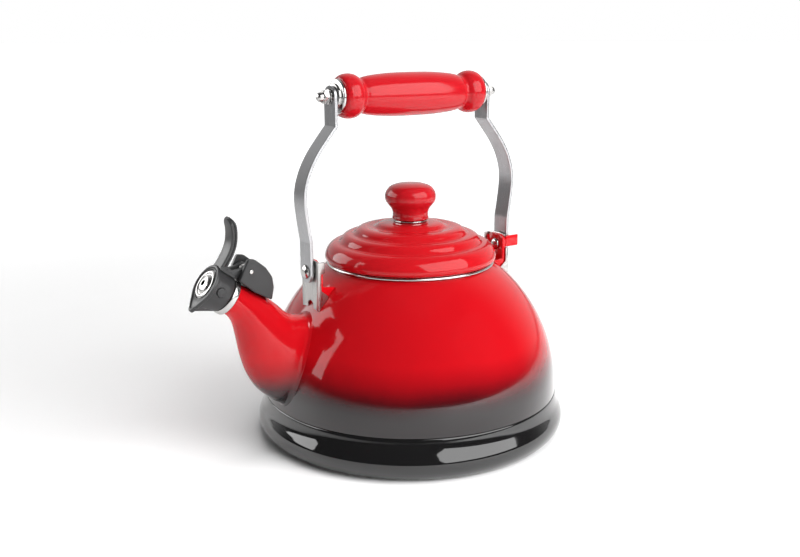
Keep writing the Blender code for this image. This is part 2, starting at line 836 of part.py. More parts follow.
def teardrop(radius, inset=0.0):
    """The cap's face: a circle drawn out to a beak below, as points and their angles."""
    beak_radius = 0.0022
    offset = BEAK_REACH - beak_radius
    tangent = 180 - math.degrees(math.acos((radius - beak_radius) / offset))
    face = arc((0, 0), radius - inset, -tangent, tangent, 26)
    beak = arc((-offset, 0), beak_radius - min(inset, 0.0012), tangent, 360 - tangent, 5)
    return face + beak


def whistle_cap(look, tip, axis):
    """A round cup behind, a teardrop in front, bored for the nozzle and the two discs."""
    face = teardrop(CAP_RADIUS)
    angles = [math.atan2(y, x) for x, y in face]
    bevel = 0.0010
    rear = [
        (CAP_REAR_RADIUS * math.cos(a), CAP_REAR_RADIUS * math.sin(a), 2 * GAP) for a in angles
    ]
    rings = [
        rear,
        [(x, y, CAP_LENGTH - bevel) for x, y in face],
        [(x, y, CAP_LENGTH) for x, y in teardrop(CAP_RADIUS, 0.0009)],
    ]
    cap = loft("whistle_cap", rings, look, axis, at=tip_from_pin())
    seat = CAP_LENGTH - 0.0012
    lip = 0.0010
    return cut(
        cap,
        tip_cutter("cap_bore", CAP_BORE, -0.005, seat - lip, tip),
        tip_cutter("cap_window", DISC_RADIUS - 0.0014, 0.0, seat + 0.001, tip),
        tip_cutter("cap_recess", DISC_RADIUS + GAP, seat, seat + 0.01, tip),
        cylinder(
            "cap_plug_holes",
            PLUG_RADIUS + GAP,
            4 * CAP_RADIUS,
            None,
            tip,
            at=(0, 0, PLUG_AHEAD),
            turn=ALONG_Y,
        ),
    )


def tip_from_pin():
    """The tip's centre, in the frame of the hinge pin."""
    return (-PIN_ABOVE, 0, -PIN_AHEAD)


def tip_cutter(name, radius, low, high, tip):
    place = (0, 0, (low + high) / 2)
    return cylinder(name, radius, high - low, None, tip, sides=MIDDLE, at=place)


def disc(name, radius, middle, dish, hole, look, axis):
    """A thin steel disc, dished towards a hole in its middle."""
    half = DISC_THICKNESS / 2
    above = [(hole, half - dish), (radius * 0.45, half - dish), (radius * 0.72, half)]
    above += [(radius, half)]
    below = [(rim, height - DISC_THICKNESS) for rim, height in above[::-1]]
    outline = [(rim, height) for rim, height in above + below]
    x, y, z = tip_from_pin()
    place = (x, y, z + middle)
    return turned(name, outline, look, axis, MIDDLE, closed=True, at=place)


def cap_plug(end, side, look, axis):
    length = 0.0025
    x, y, z = tip_from_pin()
    middle = side * (CAP_BORE + GAP + length / 2)
    place = (x, y + middle, z + PLUG_AHEAD)
    return cylinder(end + "_cap_plug", PLUG_RADIUS, length, look, axis, at=place, turn=ALONG_Y)


def whistle_lever(look, axis, tip):
    """The thumb lever, its foot on the cap and the arm that turns on the hinge pin."""
    knuckle = 0.0031
    path = smooth(
        [
            (0.0128, 0.0120),
            (0.0134, 0.0188),
            (0.0138, 0.0238),
            (0.0152, 0.0292),
            (0.0180, 0.0346),
            (0.0224, 0.0394),
            (0.0262, 0.0416),
        ],
        2,
    )
    blade = ribbon(path, 0.0025)
    behind, ahead = blade[: len(path)], blade[: len(path) - 1 : -1]
    outline = [(0.0158, 0.0110), (0.0160, 0.0135), *ahead[2:], *behind[:1:-1]]
    outline += [(0.0105, 0.0160), (0.0060, 0.0170)]
    outline += arc((PIN_AHEAD, PIN_ABOVE), knuckle, 60, 250, 9)
    outline += [(0.0030, 0.0130), (0.0040, 0.0110)]
    mirrored = [(above - PIN_ABOVE, along - PIN_AHEAD) for along, above in outline]
    lever = plate("whistle_lever", mirrored, LEVER_WIDTH, look, axis, turn=ALONG_Y)
    cap = loft(
        "cap_tool",
        [
            [(x * 1.03, y * 1.03, low) for x, y in arc((0, 0), radius, 0, 345, 23)]
            for radius, low in ((CAP_REAR_RADIUS, -0.02), (CAP_RADIUS, 0.03))
        ],
        None,
        tip,
    )
    gap_half = LEVER_WIDTH / 2 - ARM_THICKNESS
    slot = [
        (PIN_ABOVE - 0.0065, PIN_AHEAD - 0.006),
        (PIN_ABOVE + 0.006, PIN_AHEAD - 0.006),
        (PIN_ABOVE + 0.006, PIN_AHEAD + 0.0042),
        (PIN_ABOVE - 0.0065, PIN_AHEAD + 0.0070),
    ]
    middle = plate("arm_slot", slot, 2 * gap_half, None, tip, turn=ALONG_Y)
    pin = pin_tool("lever_pin_hole", axis)
    return cut(lever, cap, middle, pin)


def pin_tool(name, axis):
    return cylinder(name, PIN_RADIUS + GAP, 0.03, None, axis, turn=ALONG_Y)


def hinge_pin(look, axis):
    length = 2 * (BLOCK_HALF_WIDTH + 0.0003)
    return cylinder("hinge_pin", PIN_RADIUS, length, look, axis, turn=ALONG_Y)


def pin_place():
    """The hinge pin's centre in the kettle's frame."""
    along = Vector((-math.cos(TIP_ANGLE), 0, math.sin(TIP_ANGLE)))
    above = Vector((math.sin(TIP_ANGLE), 0, math.cos(TIP_ANGLE)))
    tip = Vector((-BODY_RADIUS - TIP_REACH, 0, TIP_HEIGHT))
    return tip + along * PIN_AHEAD + above * PIN_ABOVE


def hinge_block(look, rivet_hole, seat, axis):
    """Two cheeks, joined behind and below, that carry the pin over the spout."""
    outline = [
        (-0.0080, -0.0048),
        (-0.0052, 0.0005),
        (-0.0024, 0.0066),
        (0.0004, 0.0078),
        (0.0030, 0.0066),
        (0.0098, 0.0012),
        (0.0136, -0.0048),
        (0.0150, -0.0106),
        (0.0134, -0.0196),
        (0.0020, -0.0136),
    ]
    slot = [
        (-0.0150, 0.0150),
        (-0.0150, -0.0200),
        (-0.0008, -0.0200),
        (-0.0008, -0.0084),
        (0.0085, -0.0124),
        (0.0085, 0.0150),
    ]
    place = pin_place()
    block = plate("hinge_block", outline, 2 * BLOCK_HALF_WIDTH, look, at=place, turn=ALONG_Y)
    inner = 2 * (BLOCK_HALF_WIDTH - CHEEK_THICKNESS)
    middle = plate("cheek_slot", slot, inner, None, at=place, turn=ALONG_Y)
    pin_hole = pin_tool("block_pin_hole", axis)
    return cut(block, middle, spout_solid("spout_tool", -GAP), pin_hole, rivet_hole, seat)


def rivet_frame():
    """The block's rivet stands square on the ridge of the spout's last oval."""
    reach, rise, half_rise, half_width, lean = SPOUT_SECTIONS[-1]
    half_height = half_rise * DOME_RISE
    ridge_x = -BODY_RADIUS - reach + half_height * math.sin(math.radians(lean))
    ridge_z = FOOT_HEIGHT + rise * DOME_RISE + half_height * math.cos(math.radians(lean))
    place = (ridge_x + 0.0008, 0, ridge_z)
    return guide("rivet_frame", at=place, turn=(0, math.radians(26), 0))


RIDGE_RIVET_HEAD = 0.0028
RIDGE_RIVET_UNDERSIDE = 0.0031


def rivet_seat(frame):
    """Room for the rivet's head and for setting it from above."""
    depth = 0.012
    place = (0, 0, RIDGE_RIVET_UNDERSIDE - GAP + depth / 2)
    return cylinder("rivet_seat", RIDGE_RIVET_HEAD + GAP, depth, None, frame, at=place)


def hinge_block_rivet(look, frame):
    outline = [
        (0.0, 0.0046),
        (0.0016, 0.0043),
        (RIDGE_RIVET_HEAD, 0.0034),
        (RIDGE_RIVET_HEAD, RIDGE_RIVET_UNDERSIDE),
        (0.0014, RIDGE_RIVET_UNDERSIDE),
        (0.0014, -0.0020),
        (0.0024, -0.0020),
        (0.0022, -0.0027),
        (0.0, -0.0031),
    ]
    return turned("hinge_block_rivet", outline, look, frame, SMALL)


def hinge_spring(look, axis):
    """A torsion spring round the pin, between the lever's arms."""
    turns, wire, radius = 4, 0.0004, 0.0026
    points_a_turn = 9
    half_length = LEVER_WIDTH / 2 - ARM_THICKNESS - GAP - wire
    count = turns * points_a_turn
    coil = []
    for i in range(count + 1):
        angle = math.radians(100) + 2 * math.pi * turns * i / count
        sideways = half_length * (2 * i / count - 1)
        coil.append((radius * math.cos(angle), sideways, radius * math.sin(angle)))
    first = (coil[0][0] + 0.0010, coil[0][1], coil[0][2] + 0.0012)
    last = (coil[-1][0] - 0.0030, coil[-1][1], coil[-1][2] + 0.0008)
    route = [first, *coil, last]
    curve = bpy.data.curves.new("hinge_spring", "CURVE")
    curve.dimensions = "3D"
    curve.bevel_depth = wire
    curve.bevel_resolution = 0
    curve.use_fill_caps = True
    spline = curve.splines.new("POLY")
    spline.points.add(len(route) - 1)
    for point, place in zip(spline.points, route):
        point.co = (*place, 1)
    return add("hinge_spring", curve, look, axis)


# Assembly ---------------------------------------------------------------------------------


def build():
    clear_scene()
    red = finish("red_enamel", (0.70, 0.012, 0.020), 0.12)
    black = finish("black_enamel", (0.012, 0.012, 0.013), 0.10)
    red_gloss = finish("red_gloss", (0.62, 0.014, 0.022), 0.15)
    steel = finish("brushed_steel", (0.62, 0.61, 0.60), 0.32, 1.0)
    bright = finish("bright_metal", (0.80, 0.80, 0.80), 0.12, 1.0)
    plastic = finish("black_plastic", (0.020, 0.020, 0.021), 0.38)

    dome = dome_tool()
    rivet = rivet_frame()
    rivet_hole = cylinder("rivet_hole", 0.0014 + GAP, 0.008, None, rivet)

    body_shell(red)
    base_pan(black)
    rim_band(bright)
    spout(red, dome, rivet_hole)

    seat = guide("lid_axis", at=(0, 0, SEAT_HEIGHT))
    lid_shell(red, seat)
    lid_skirt(bright, seat)
    knob_washer(bright, seat)
    lid_knob(red_gloss, seat)
    knob_screw_washer(steel, seat)
    knob_screw(steel, seat)

    bail = guide("bail_axis", at=(0, 0, PIVOT_HEIGHT))
    rod = guide("grip_axis", bail, at=(0, 0, GRIP_ABOVE_PIVOT), turn=ALONG_X)
    for end, side in (("front", -1), ("rear", 1)):
        turn = (0, 0, 0) if side > 0 else (math.pi, 0, 0)
        bracket(end, side, steel, dome)
        lug(end, side, red, dome)
        pivot_rivet(end, side, bright, guide(end + "_pivot", at=(0, 0, PIVOT_HEIGHT)))
        pivot_washer(end, side, steel, guide(end + "_washer_axis", at=(0, 0, PIVOT_HEIGHT)))
        strap(end, side, steel, bail)
        end_cup(end, turn, bright, rod)
        lock_washer(end, turn, steel, rod)
        acorn_nut(end, turn, bright, rod)
    bail_stop(red)
    grip(red_gloss, rod)
    grip_rod(steel, rod)

    lean = (0, TIP_ANGLE - math.pi / 2, 0)
    tip = guide("spout_tip", at=(-BODY_RADIUS - TIP_REACH, 0, TIP_HEIGHT), turn=lean)
    axis = guide("whistle_axis", at=pin_place(), turn=lean)
    spout_ferrule(bright, tip)
    hinge_block(plastic, rivet_hole, rivet_seat(rivet), axis)
    hinge_block_rivet(bright, rivet)
    hinge_pin(bright, axis)
    hinge_spring(steel, axis)
    whistle_cap(plastic, tip, axis)
    whistle_lever(plastic, axis, tip)
    disc_front = CAP_LENGTH - 0.0012 + GAP + DISC_THICKNESS / 2 + 0.0006
    disc("whistle_front_disc", DISC_RADIUS, disc_front, 0.0006, 0.0020, bright, axis)
    disc_back = CAP_LENGTH - 0.0022 - 0.0030
    disc("whistle_back_disc", CAP_BORE - GAP, disc_back, 0.0, 0.0020, steel, axis)
    cap_plug("left", 1, plastic, axis)
    cap_plug("right", -1, plastic, axis)


build()
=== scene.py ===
"""Stovetop whistling kettle: red enamel fading to black, steel bail handle, flip-up whistle.

The kettle stands on the floor at the origin with +Z up, its spout points along -X, and the
bail stands in the XZ plane. Front is the spout's side. Lengths are in metres.
"""

import math

import bmesh
import bpy
from mathutils import Matrix, Vector


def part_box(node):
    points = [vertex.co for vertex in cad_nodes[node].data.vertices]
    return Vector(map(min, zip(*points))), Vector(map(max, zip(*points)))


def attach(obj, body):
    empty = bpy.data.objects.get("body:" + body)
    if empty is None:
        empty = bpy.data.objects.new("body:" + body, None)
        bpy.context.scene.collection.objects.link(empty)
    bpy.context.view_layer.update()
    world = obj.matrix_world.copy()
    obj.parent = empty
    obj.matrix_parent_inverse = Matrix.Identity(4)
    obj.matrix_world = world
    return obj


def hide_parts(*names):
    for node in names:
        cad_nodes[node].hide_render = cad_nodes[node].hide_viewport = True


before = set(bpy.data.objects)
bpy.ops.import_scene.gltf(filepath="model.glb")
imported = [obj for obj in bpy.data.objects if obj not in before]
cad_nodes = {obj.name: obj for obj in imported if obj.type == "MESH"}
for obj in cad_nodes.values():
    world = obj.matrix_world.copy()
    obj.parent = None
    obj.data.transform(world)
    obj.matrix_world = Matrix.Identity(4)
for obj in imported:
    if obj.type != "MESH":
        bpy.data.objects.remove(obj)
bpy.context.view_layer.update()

# Studio -----------------------------------------------------------------------------------
# A white floor and a white backdrop in a room that is dim on the camera's side. Soft boxes stand
# overhead, at the left and at the right. A fourth lights the dome, the spout and the floor
# alone, and a small fifth puts the shine on the spout's ridge.


def set_inputs(node, **numbers):
    """Sets a node's own sockets; an underscore stands for a space in a socket's name."""
    for socket, value in numbers.items():
        node.inputs[socket.replace("_", " ")].default_value = value
    return node


def new_node(tree, kind, **numbers):
    """A shader node of this kind, with these numbers on its sockets."""
    return set_inputs(tree.nodes.new("ShaderNode" + kind), **numbers)


def join(source, output, target, socket):
    """Links a node's output to a socket of another node."""
    source.id_data.links.new(source.outputs[output], target.inputs[socket])


floor_size = 80.0
bpy.ops.object.select_all(action="DESELECT")
bpy.ops.mesh.primitive_plane_add(size=floor_size, location=(0, 0, 0))
floor = bpy.context.object
floor.name = "studio_floor"

floor_paint = bpy.data.materials.new("floor_paint")
floor_paint.use_nodes = True
floor_tree = floor_paint.node_tree
floor_shader = floor_tree.nodes["Principled BSDF"]
set_inputs(floor_shader, Base_Color=(0.93, 0.93, 0.93, 1), Roughness=0.60)
set_inputs(floor_shader, Specular_IOR_Level=0.2, Emission_Strength=1.0)
floor_where = new_node(floor_tree, "TexCoord")
from_kettle = new_node(floor_tree, "VectorMath")
from_kettle.operation = "LENGTH"
far_glow = new_node(floor_tree, "MapRange", From_Min=0.25, From_Max=1.60, To_Max=0.95)
far_glow.interpolation_type = "SMOOTHSTEP"
only_seen = new_node(floor_tree, "LightPath")
seen_glow = new_node(floor_tree, "Math")
seen_glow.operation = "MULTIPLY"
join(floor_where, "Object", from_kettle, 0)
join(from_kettle, "Value", far_glow, "Value")
join(far_glow, "Result", seen_glow, 0)
join(only_seen, "Is Camera Ray", seen_glow, 1)
join(seen_glow, "Value", floor_shader, "Emission Color")
floor.data.materials.append(floor_paint)

kettle_middle = Vector((0.0, 0.0, 0.10))
camera_place = Vector((-0.3603, -0.5347, 0.2670))
camera_side = Vector((camera_place.x, camera_place.y, 0)).normalized()
left_side = Vector((camera_side.y, -camera_side.x, 0))

room = bpy.data.worlds.new("studio_room")
room.use_nodes = True
room_tree = room.node_tree
backdrop = set_inputs(room_tree.nodes["Background"], Color=(1.0, 1.0, 1.0, 1))
facing = new_node(room_tree, "TexCoord")
towards_camera = new_node(room_tree, "VectorMath")
towards_camera.operation = "DOT_PRODUCT"
towards_camera.inputs[1].default_value = camera_side
dimming = new_node(room_tree, "MapRange", From_Min=-0.75, From_Max=-0.05, To_Min=0.75, To_Max=0.07)
dimming.interpolation_type = "SMOOTHSTEP"
seen = new_node(room_tree, "LightPath")
white_behind = new_node(room_tree, "Math")
white_behind.operation = "MAXIMUM"
join(facing, "Generated", towards_camera, 0)
join(towards_camera, "Value", dimming, "Value")
join(dimming, "Result", white_behind, 0)
join(seen, "Is Camera Ray", white_behind, 1)
join(white_behind, "Value", backdrop, "Strength")
bpy.context.scene.world = room
bpy.context.scene.view_settings.view_transform = "Standard"


def soft_box(name, turn_left, rise, distance, width, height, brightness):
    """A soft box, turned left from the camera's side and raised by these angles in degrees."""
    light = bpy.data.lights.new(name, "AREA")
    light.shape = "RECTANGLE"
    light.size, light.size_y = width, height
    light.energy = brightness * math.pi * width * height
    lamp = bpy.data.objects.new(name, light)
    bpy.context.scene.collection.objects.link(lamp)
    turn_left, rise = math.radians(turn_left), math.radians(rise)
    level = camera_side * math.cos(turn_left) + left_side * math.sin(turn_left)
    out = level * math.cos(rise) + Vector((0, 0, math.sin(rise)))
    lamp.location = kettle_middle + out * distance
    lamp.rotation_euler = (-out).to_track_quat("-Z", "Y").to_euler()
    return lamp


top_box = soft_box("top_box", -60, 82, 1.40, 1.10, 0.90, 3.4)
top_box.visible_glossy = False
left_box = soft_box("left_box", 97, 20, 1.20, 1.25, 0.70, 3.8)
left_box.visible_diffuse = False
right_box = soft_box("right_box", -51, 30, 1.40, 1.60, 1.30, 3.8)
dome_fill = soft_box("dome_fill", -62, 30, 1.40, 0.90, 0.90, 5.4)
dome_fill.visible_glossy = False
ridge_box = soft_box("ridge_box", -30, 76, 1.20, 0.60, 0.30, 12.0)
ridge_box.visible_diffuse = False

lens = bpy.data.cameras.new("studio_camera")
lens.lens = 42.93
lens.sensor_width = 36.0
lens.shift_x, lens.shift_y = -0.013, 0.0071
lens.clip_start, lens.clip_end = 0.01, 50.0
camera = bpy.data.objects.new("studio_camera", lens)
bpy.context.scene.collection.objects.link(camera)
camera.location = camera_place
camera.rotation_euler = (kettle_middle - camera_place).to_track_quat("-Z", "Y").to_euler()
bpy.context.scene.camera = camera

# Dome -------------------------------------------------------------------------------------
# Pressed from one steel sheet and enamelled: red, sprayed over black, which fades in softly
# towards the foot. The sheet is 1.2 mm thick and open at the mouth.


def smooth_run(points, spans=6):
    """A smooth curve through a piece's outline points."""
    ends = [points[0], *points, points[-1]]
    curve = []
    for a, b, c, d in zip(ends, ends[1:], ends[2:], ends[3:]):
        for i in range(spans):
            t = i / spans
            weights = (
                -0.5 * t + t * t - 0.5 * t**3,
                1 - 2.5 * t * t + 1.5 * t**3,
                0.5 * t + 2 * t * t - 1.5 * t**3,
                -0.5 * t * t + 0.5 * t**3,
            )
            curve.append(
                tuple(sum(w * p[k] for w, p in zip(weights, (a, b, c, d))) for k in (0, 1))
            )
    return [*curve, tuple(points[-1])]


def sheet_outline(path, wall):
    """The outline of a sheet whose outer face follows the path and whose inner is to its right."""
    inner = []
    for i, point in enumerate(path):
        before, after = path[max(i - 1, 0)], path[min(i + 1, len(path) - 1)]
        run = Vector((after[0] - before[0], after[1] - before[1])).normalized()
        inner.append((point[0] + run.y * wall, point[1] - run.x * wall))
    return [*path, *inner[::-1]]


def start_outline(name, outline, y=0):
    """A vertex drawn round a closed outline of (x, z), left in edit mode."""
    bpy.ops.object.select_all(action="DESELECT")
    bpy.ops.mesh.primitive_plane_add(size=0.001, location=(0, 0, 0))
    piece = bpy.context.object
    piece.name = piece.data.name = name
    bpy.ops.object.mode_set(mode="EDIT")
    bpy.ops.mesh.merge(type="CENTER")
    bpy.ops.transform.translate(value=(outline[0][0], y, outline[0][1]))
    ring = [*outline, outline[0]]
    for before, after in zip(ring, ring[1:]):
        step = (after[0] - before[0], 0, after[1] - before[1])
        bpy.ops.mesh.extrude_vertices_move(TRANSFORM_OT_translate={"value": step})
    bpy.ops.mesh.select_all(action="SELECT")
    bpy.ops.mesh.remove_doubles(threshold=0.000001)
    return piece


smooth_below = math.radians(35)


def turned(name, outline, faces_round=128):
    """A piece turned about Z from a closed outline of (radius, height)."""
    piece = start_outline(name, outline)
    bpy.ops.mesh.spin(
        steps=faces_round, angle=2 * math.pi, center=(0, 0, 0), axis=(0, 0, 1), use_auto_merge=True
    )
    bpy.ops.mesh.select_all(action="SELECT")
    bpy.ops.mesh.remove_doubles(threshold=0.000005)
    bpy.ops.mesh.dissolve_degenerate(threshold=0.000001)
    bpy.ops.mesh.normals_make_consistent(inside=False)
    bpy.ops.object.mode_set(mode="OBJECT")
    bpy.ops.object.shade_smooth_by_angle(angle=smooth_below)
    return piece


def place_piece(piece, matrix):
    """Puts a piece in its place, inside its own mesh."""
    piece.data.transform(matrix)
    piece.data.update()
    return piece


def dress(piece, material, body, slot_name, *nodes):
    """Gives a piece its finish and says what it rides on and which nodes it stands for."""
    piece.data.materials.clear()
    piece.data.materials.append(material)
    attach(piece, body)
    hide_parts(*nodes)
    return piece


wall = 0.0012
body_low, body_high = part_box("body_shell")
dome_radius = body_high.y
foot_height = body_low.z - 0.0006
mouth_radius = 0.0570
dome_rise = (body_high.z - foot_height) / math.sqrt(1 - (mouth_radius / dome_radius) ** 2)


def dome_point(angle, offset=0.0):
    """A point of the dome's outline, at an angle up from its foot."""
    radius = (dome_radius + offset) * math.cos(angle)
    return (radius, foot_height + (dome_rise + offset) * math.sin(angle))


mouth_angle = math.acos(mouth_radius / dome_radius)
dome_spans = 48
dome_path = [dome_point(mouth_angle * (1 - i / dome_spans)) for i in range(dome_spans)]
dome_path.append((dome_radius, body_low.z))
dome = turned("enamel_dome", sheet_outline(dome_path, wall), 192)


def new_material(name, colour, roughness, metallic=0.0, **numbers):
    """A material, its shader and its tree; numbers that don't vary sit on the shader itself."""
    material = bpy.data.materials.new(name)
    material.use_nodes = True
    shader = material.node_tree.nodes["Principled BSDF"]
    set_inputs(shader, Base_Color=(*colour, 1), Roughness=roughness, Metallic=metallic, **numbers)
    return material, shader, material.node_tree


def new_group(name, inputs, outputs):
    """An empty shader node group with its sockets; inputs are name and default value."""
    group = bpy.data.node_groups.new(name, "ShaderNodeTree")
    group.interface.new_socket("Vector", in_out="INPUT", socket_type="NodeSocketVector")
    for socket_name, value in inputs:
        socket = group.interface.new_socket(
            socket_name, in_out="INPUT", socket_type="NodeSocketFloat"
        )
        socket.default_value = value
    for socket_name in outputs:
        group.interface.new_socket(socket_name, in_out="OUTPUT", socket_type="NodeSocketFloat")
    return group, group.nodes.new("NodeGroupInput"), group.nodes.new("NodeGroupOutput")


# A fired coat is never quite flat: long soft waves, and smears
fired_coat, entry, way_out = new_group(
    "fired_coat", [("Wave Scale", 60.0), ("Smear Scale", 14.0)], ["Height", "Smear"]
)
waves = new_node(fired_coat, "TexNoise", Detail=1.0)
smears = new_node(fired_coat, "TexNoise", Detail=5.0, Roughness=0.62)
for noise, scale_name, out_name in ((waves, "Wave Scale", "Height"), (smears, "Smear Scale", "Smear")):
    join(entry, "Vector", noise, "Vector")
    join(entry, scale_name, noise, "Scale")
    join(noise, "Fac", way_out, out_name)


def map_range(source, output, low, high, to_low, to_high):
    """A node that stretches another node's output from one range to another."""
    node = new_node(
        source.id_data, "MapRange", From_Min=low, From_Max=high, To_Min=to_low, To_Max=to_high
    )
    join(source, output, node, "Value")
    return node


def coat_surface(tree, shader, wave_scale, wave_depth, smooth, smeared):
    """Puts the fired coat's waves in the normal and its smears in the roughness."""
    where = new_node(tree, "TexCoord")
    coat = new_node(tree, "Group")
    coat.node_tree = fired_coat
    set_inputs(coat, Wave_Scale=wave_scale)
    bump = new_node(tree, "Bump", Distance=wave_depth, Strength=1.0)
    join(where, "Object", coat, "Vector")
    join(coat, "Height", bump, "Height")
    join(bump, "Normal", shader, "Normal")
    join(map_range(coat, "Smear", 0.35, 0.75, smooth, smeared), "Result", shader, "Roughness")
    return where


# Red over black: heights of the fade, from all black to all red
fade_heights = (0.0400, 0.0470, 0.0530, 0.0600, 0.0720)
fade_colours = (
    (0.0060, 0.0055, 0.0060), (0.0280, 0.0030, 0.0050), (0.1600, 0.0030, 0.0070),
    (0.4200, 0.0040, 0.0090), (0.7200, 0.0060, 0.0120),
)
fade_wander = 0.0070

enamel_numbers = {"IOR": 1.52, "Specular_IOR_Level": 0.25, "Coat_Roughness": 0.02}
red_enamel, shader, tree = new_material("red_enamel", fade_colours[-1], 0.07, **enamel_numbers)
where = coat_surface(tree, shader, 75.0, 0.00006, 0.05, 0.11)
apart = new_node(tree, "SeparateXYZ")
join(where, "Object", apart, "Vector")
wandering, output = apart, "Z"
for noise_scale, noise_detail in ((22.0, 2.0), (2600.0, 1.0)):
    noise = new_node(tree, "TexNoise", Scale=noise_scale, Detail=noise_detail)
    join(where, "Object", noise, "Vector")
    moved = new_node(tree, "Math")
    join(wandering, output, moved, 0)
    join(map_range(noise, "Fac", 0.0, 1.0, -fade_wander / 2, fade_wander / 2), "Result", moved, 1)
    wandering, output = moved, "Value"
share = map_range(wandering, "Value", fade_heights[0], fade_heights[-1], 0, 1)
fade = new_node(tree, "ValToRGB")
fade.color_ramp.interpolation = "B_SPLINE"
fade_length = fade_heights[-1] - fade_heights[0]
for i, (height, colour) in enumerate(zip(fade_heights, fade_colours)):
    spot = (height - fade_heights[0]) / fade_length
    stops = fade.color_ramp.elements
    stop = stops[0] if i == 0 else stops[1] if i == 1 else stops.new(spot)
    stop.position = spot
    stop.color = (*colour, 1)
join(share, "Result", fade, "Fac")
join(fade, "Color", shader, "Base Color")
join(map_range(share, "Result", 0.0, 0.7, 0.9, 0.1), "Result", shader, "Coat Weight")

dress(dome, red_enamel, "kettle", "red_enamel", "body_shell")


def flag(lamp, piece, state):
    """Keeps a soft box off a piece (EXCLUDE), or for the pieces given to it (INCLUDE)."""
    flagged = lamp.light_linking.receiver_collection
    if not flagged:
        flagged = bpy.data.collections.new(lamp.name + "_flag")
        lamp.light_linking.receiver_collection = flagged
    flagged.objects.link(piece)
    flagged.collection_objects[-1].light_linking.link_state = state


flag(right_box, dome, "EXCLUDE")
for lit in (dome, floor):
    flag(dome_fill, lit, "INCLUDE")

# Base pan ---------------------------------------------------------------------------------
# A second pressing, enamelled black. Its neck stands inside the dome's foot, a wide ring
# bulges out below, and the floor is pressed in a little inside the ring that it stands on.

pan_gap = 0.0003
pan_neck = dome_radius - wall - 2 * pan_gap
pan_path = [
    (pan_neck, foot_height + 0.0060), (pan_neck, foot_height + 0.0020),
    (pan_neck, foot_height + 0.0004),
]
pan_path += smooth_run(
    [(0.1012, 0.0279), (0.1021, 0.0278), (0.1026, 0.0268), (0.1033, 0.0237), (0.1043, 0.0203),
     (0.1059, 0.0168), (0.1073, 0.0133), (0.1077, 0.0100), (0.1071, 0.0066), (0.1052, 0.0034),
     (0.1022, 0.0011), (0.0985, 0.0000), (0.0950, 0.0001), (0.0925, 0.0010), (0.0890, 0.0014)],
    5,
)
pan_path += [(0.0500, 0.0014), (0.0, 0.0014)]
pan_path = [(radius, max(height, 0.0)) for radius, height in pan_path]
pan = turned("base_pan_enamel", sheet_outline(pan_path, wall), 192)
black_enamel, shader, tree = new_material(
    "black_enamel", (0.0065, 0.0062, 0.0066), 0.07, IOR=1.52, Coat_Weight=0.6, Coat_Roughness=0.03
)
coat_surface(tree, shader, 75.0, 0.00006, 0.05, 0.13)
dress(pan, black_enamel, "kettle", "black_enamel", "base_pan")

# Rim band ---------------------------------------------------------------------------------
# Bright stainless strip rolled over the mouth's raw edge, with a skirt down into the mouth. It
# hides the cut edge of the sheet, and the lid sits on it.

band_low, band_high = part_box("rim_band")
band_outer = band_high.y
mouth_height = body_high.z
band_outline = [
    (mouth_radius - 0.0021, band_low.z), (mouth_radius - 0.0021, band_high.z - 0.0010),
    *smooth_run(
        [(mouth_radius - 0.0019, band_high.z - 0.0004), (mouth_radius - 0.0010, band_high.z),
         (mouth_radius - 0.0001, band_high.z), (band_outer - 0.0001, band_high.z - 0.0006),
         (band_outer, mouth_height + 0.0009), (band_outer - 0.0002, mouth_height + 0.0004)],
        3,
    ),
    (mouth_radius - wall, mouth_height + 0.0004), (mouth_radius - 0.0013, mouth_height - 0.0012),
    (mouth_radius - 0.0013, band_low.z),
]
band = turned("rolled_rim_band", band_outline, 192)

# Turned and rolled metal: the fine lines that the tool leaves, shared by every metal here
fine_marks, entry, way_out = new_group("fine_marks", [("Scale", 300.0)], ["Height"])
lines = new_node(fine_marks, "TexNoise", Detail=2.0)
join(entry, "Vector", lines, "Vector")
join(entry, "Scale", lines, "Scale")
join(lines, "Fac", way_out, "Height")


def metal_surface(tree, shader, stretch, scale, depth, smooth, smeared, coordinates="Object"):
    """Fine lines along one direction, in the normal and in the roughness."""
    where = new_node(tree, "TexCoord")
    stretched = new_node(tree, "Mapping", Scale=stretch)
    marks = new_node(tree, "Group")
    marks.node_tree = fine_marks
    set_inputs(marks, Scale=scale)
    bump = new_node(tree, "Bump", Distance=depth)
    join(where, coordinates, stretched, "Vector")
    join(stretched, "Vector", marks, "Vector")
    join(marks, "Height", bump, "Height")
    join(bump, "Normal", shader, "Normal")
    join(map_range(marks, "Height", 0.3, 0.7, smooth, smeared), "Result", shader, "Roughness")


bright_metal, shader, tree = new_material("bright_metal", (0.54, 0.53, 0.52), 0.16, 1.0)
metal_surface(tree, shader, (1, 1, 1), 420.0, 0.000004, 0.12, 0.22)
dress(band, bright_metal, "kettle", "bright_metal", "rim_band")

# Spout ------------------------------------------------------------------------------------
# A pressed and welded swan-neck tube, oval at the root and round at the tip, enamelled with
# the dome. The enamel fills the weld, so the root flares a little where it meets the dome.

tip_reach, tip_rise, tip_lean = 0.0351, 0.7957, math.radians(35.5)
tip_radius, nozzle_radius = 0.0103, 0.0094
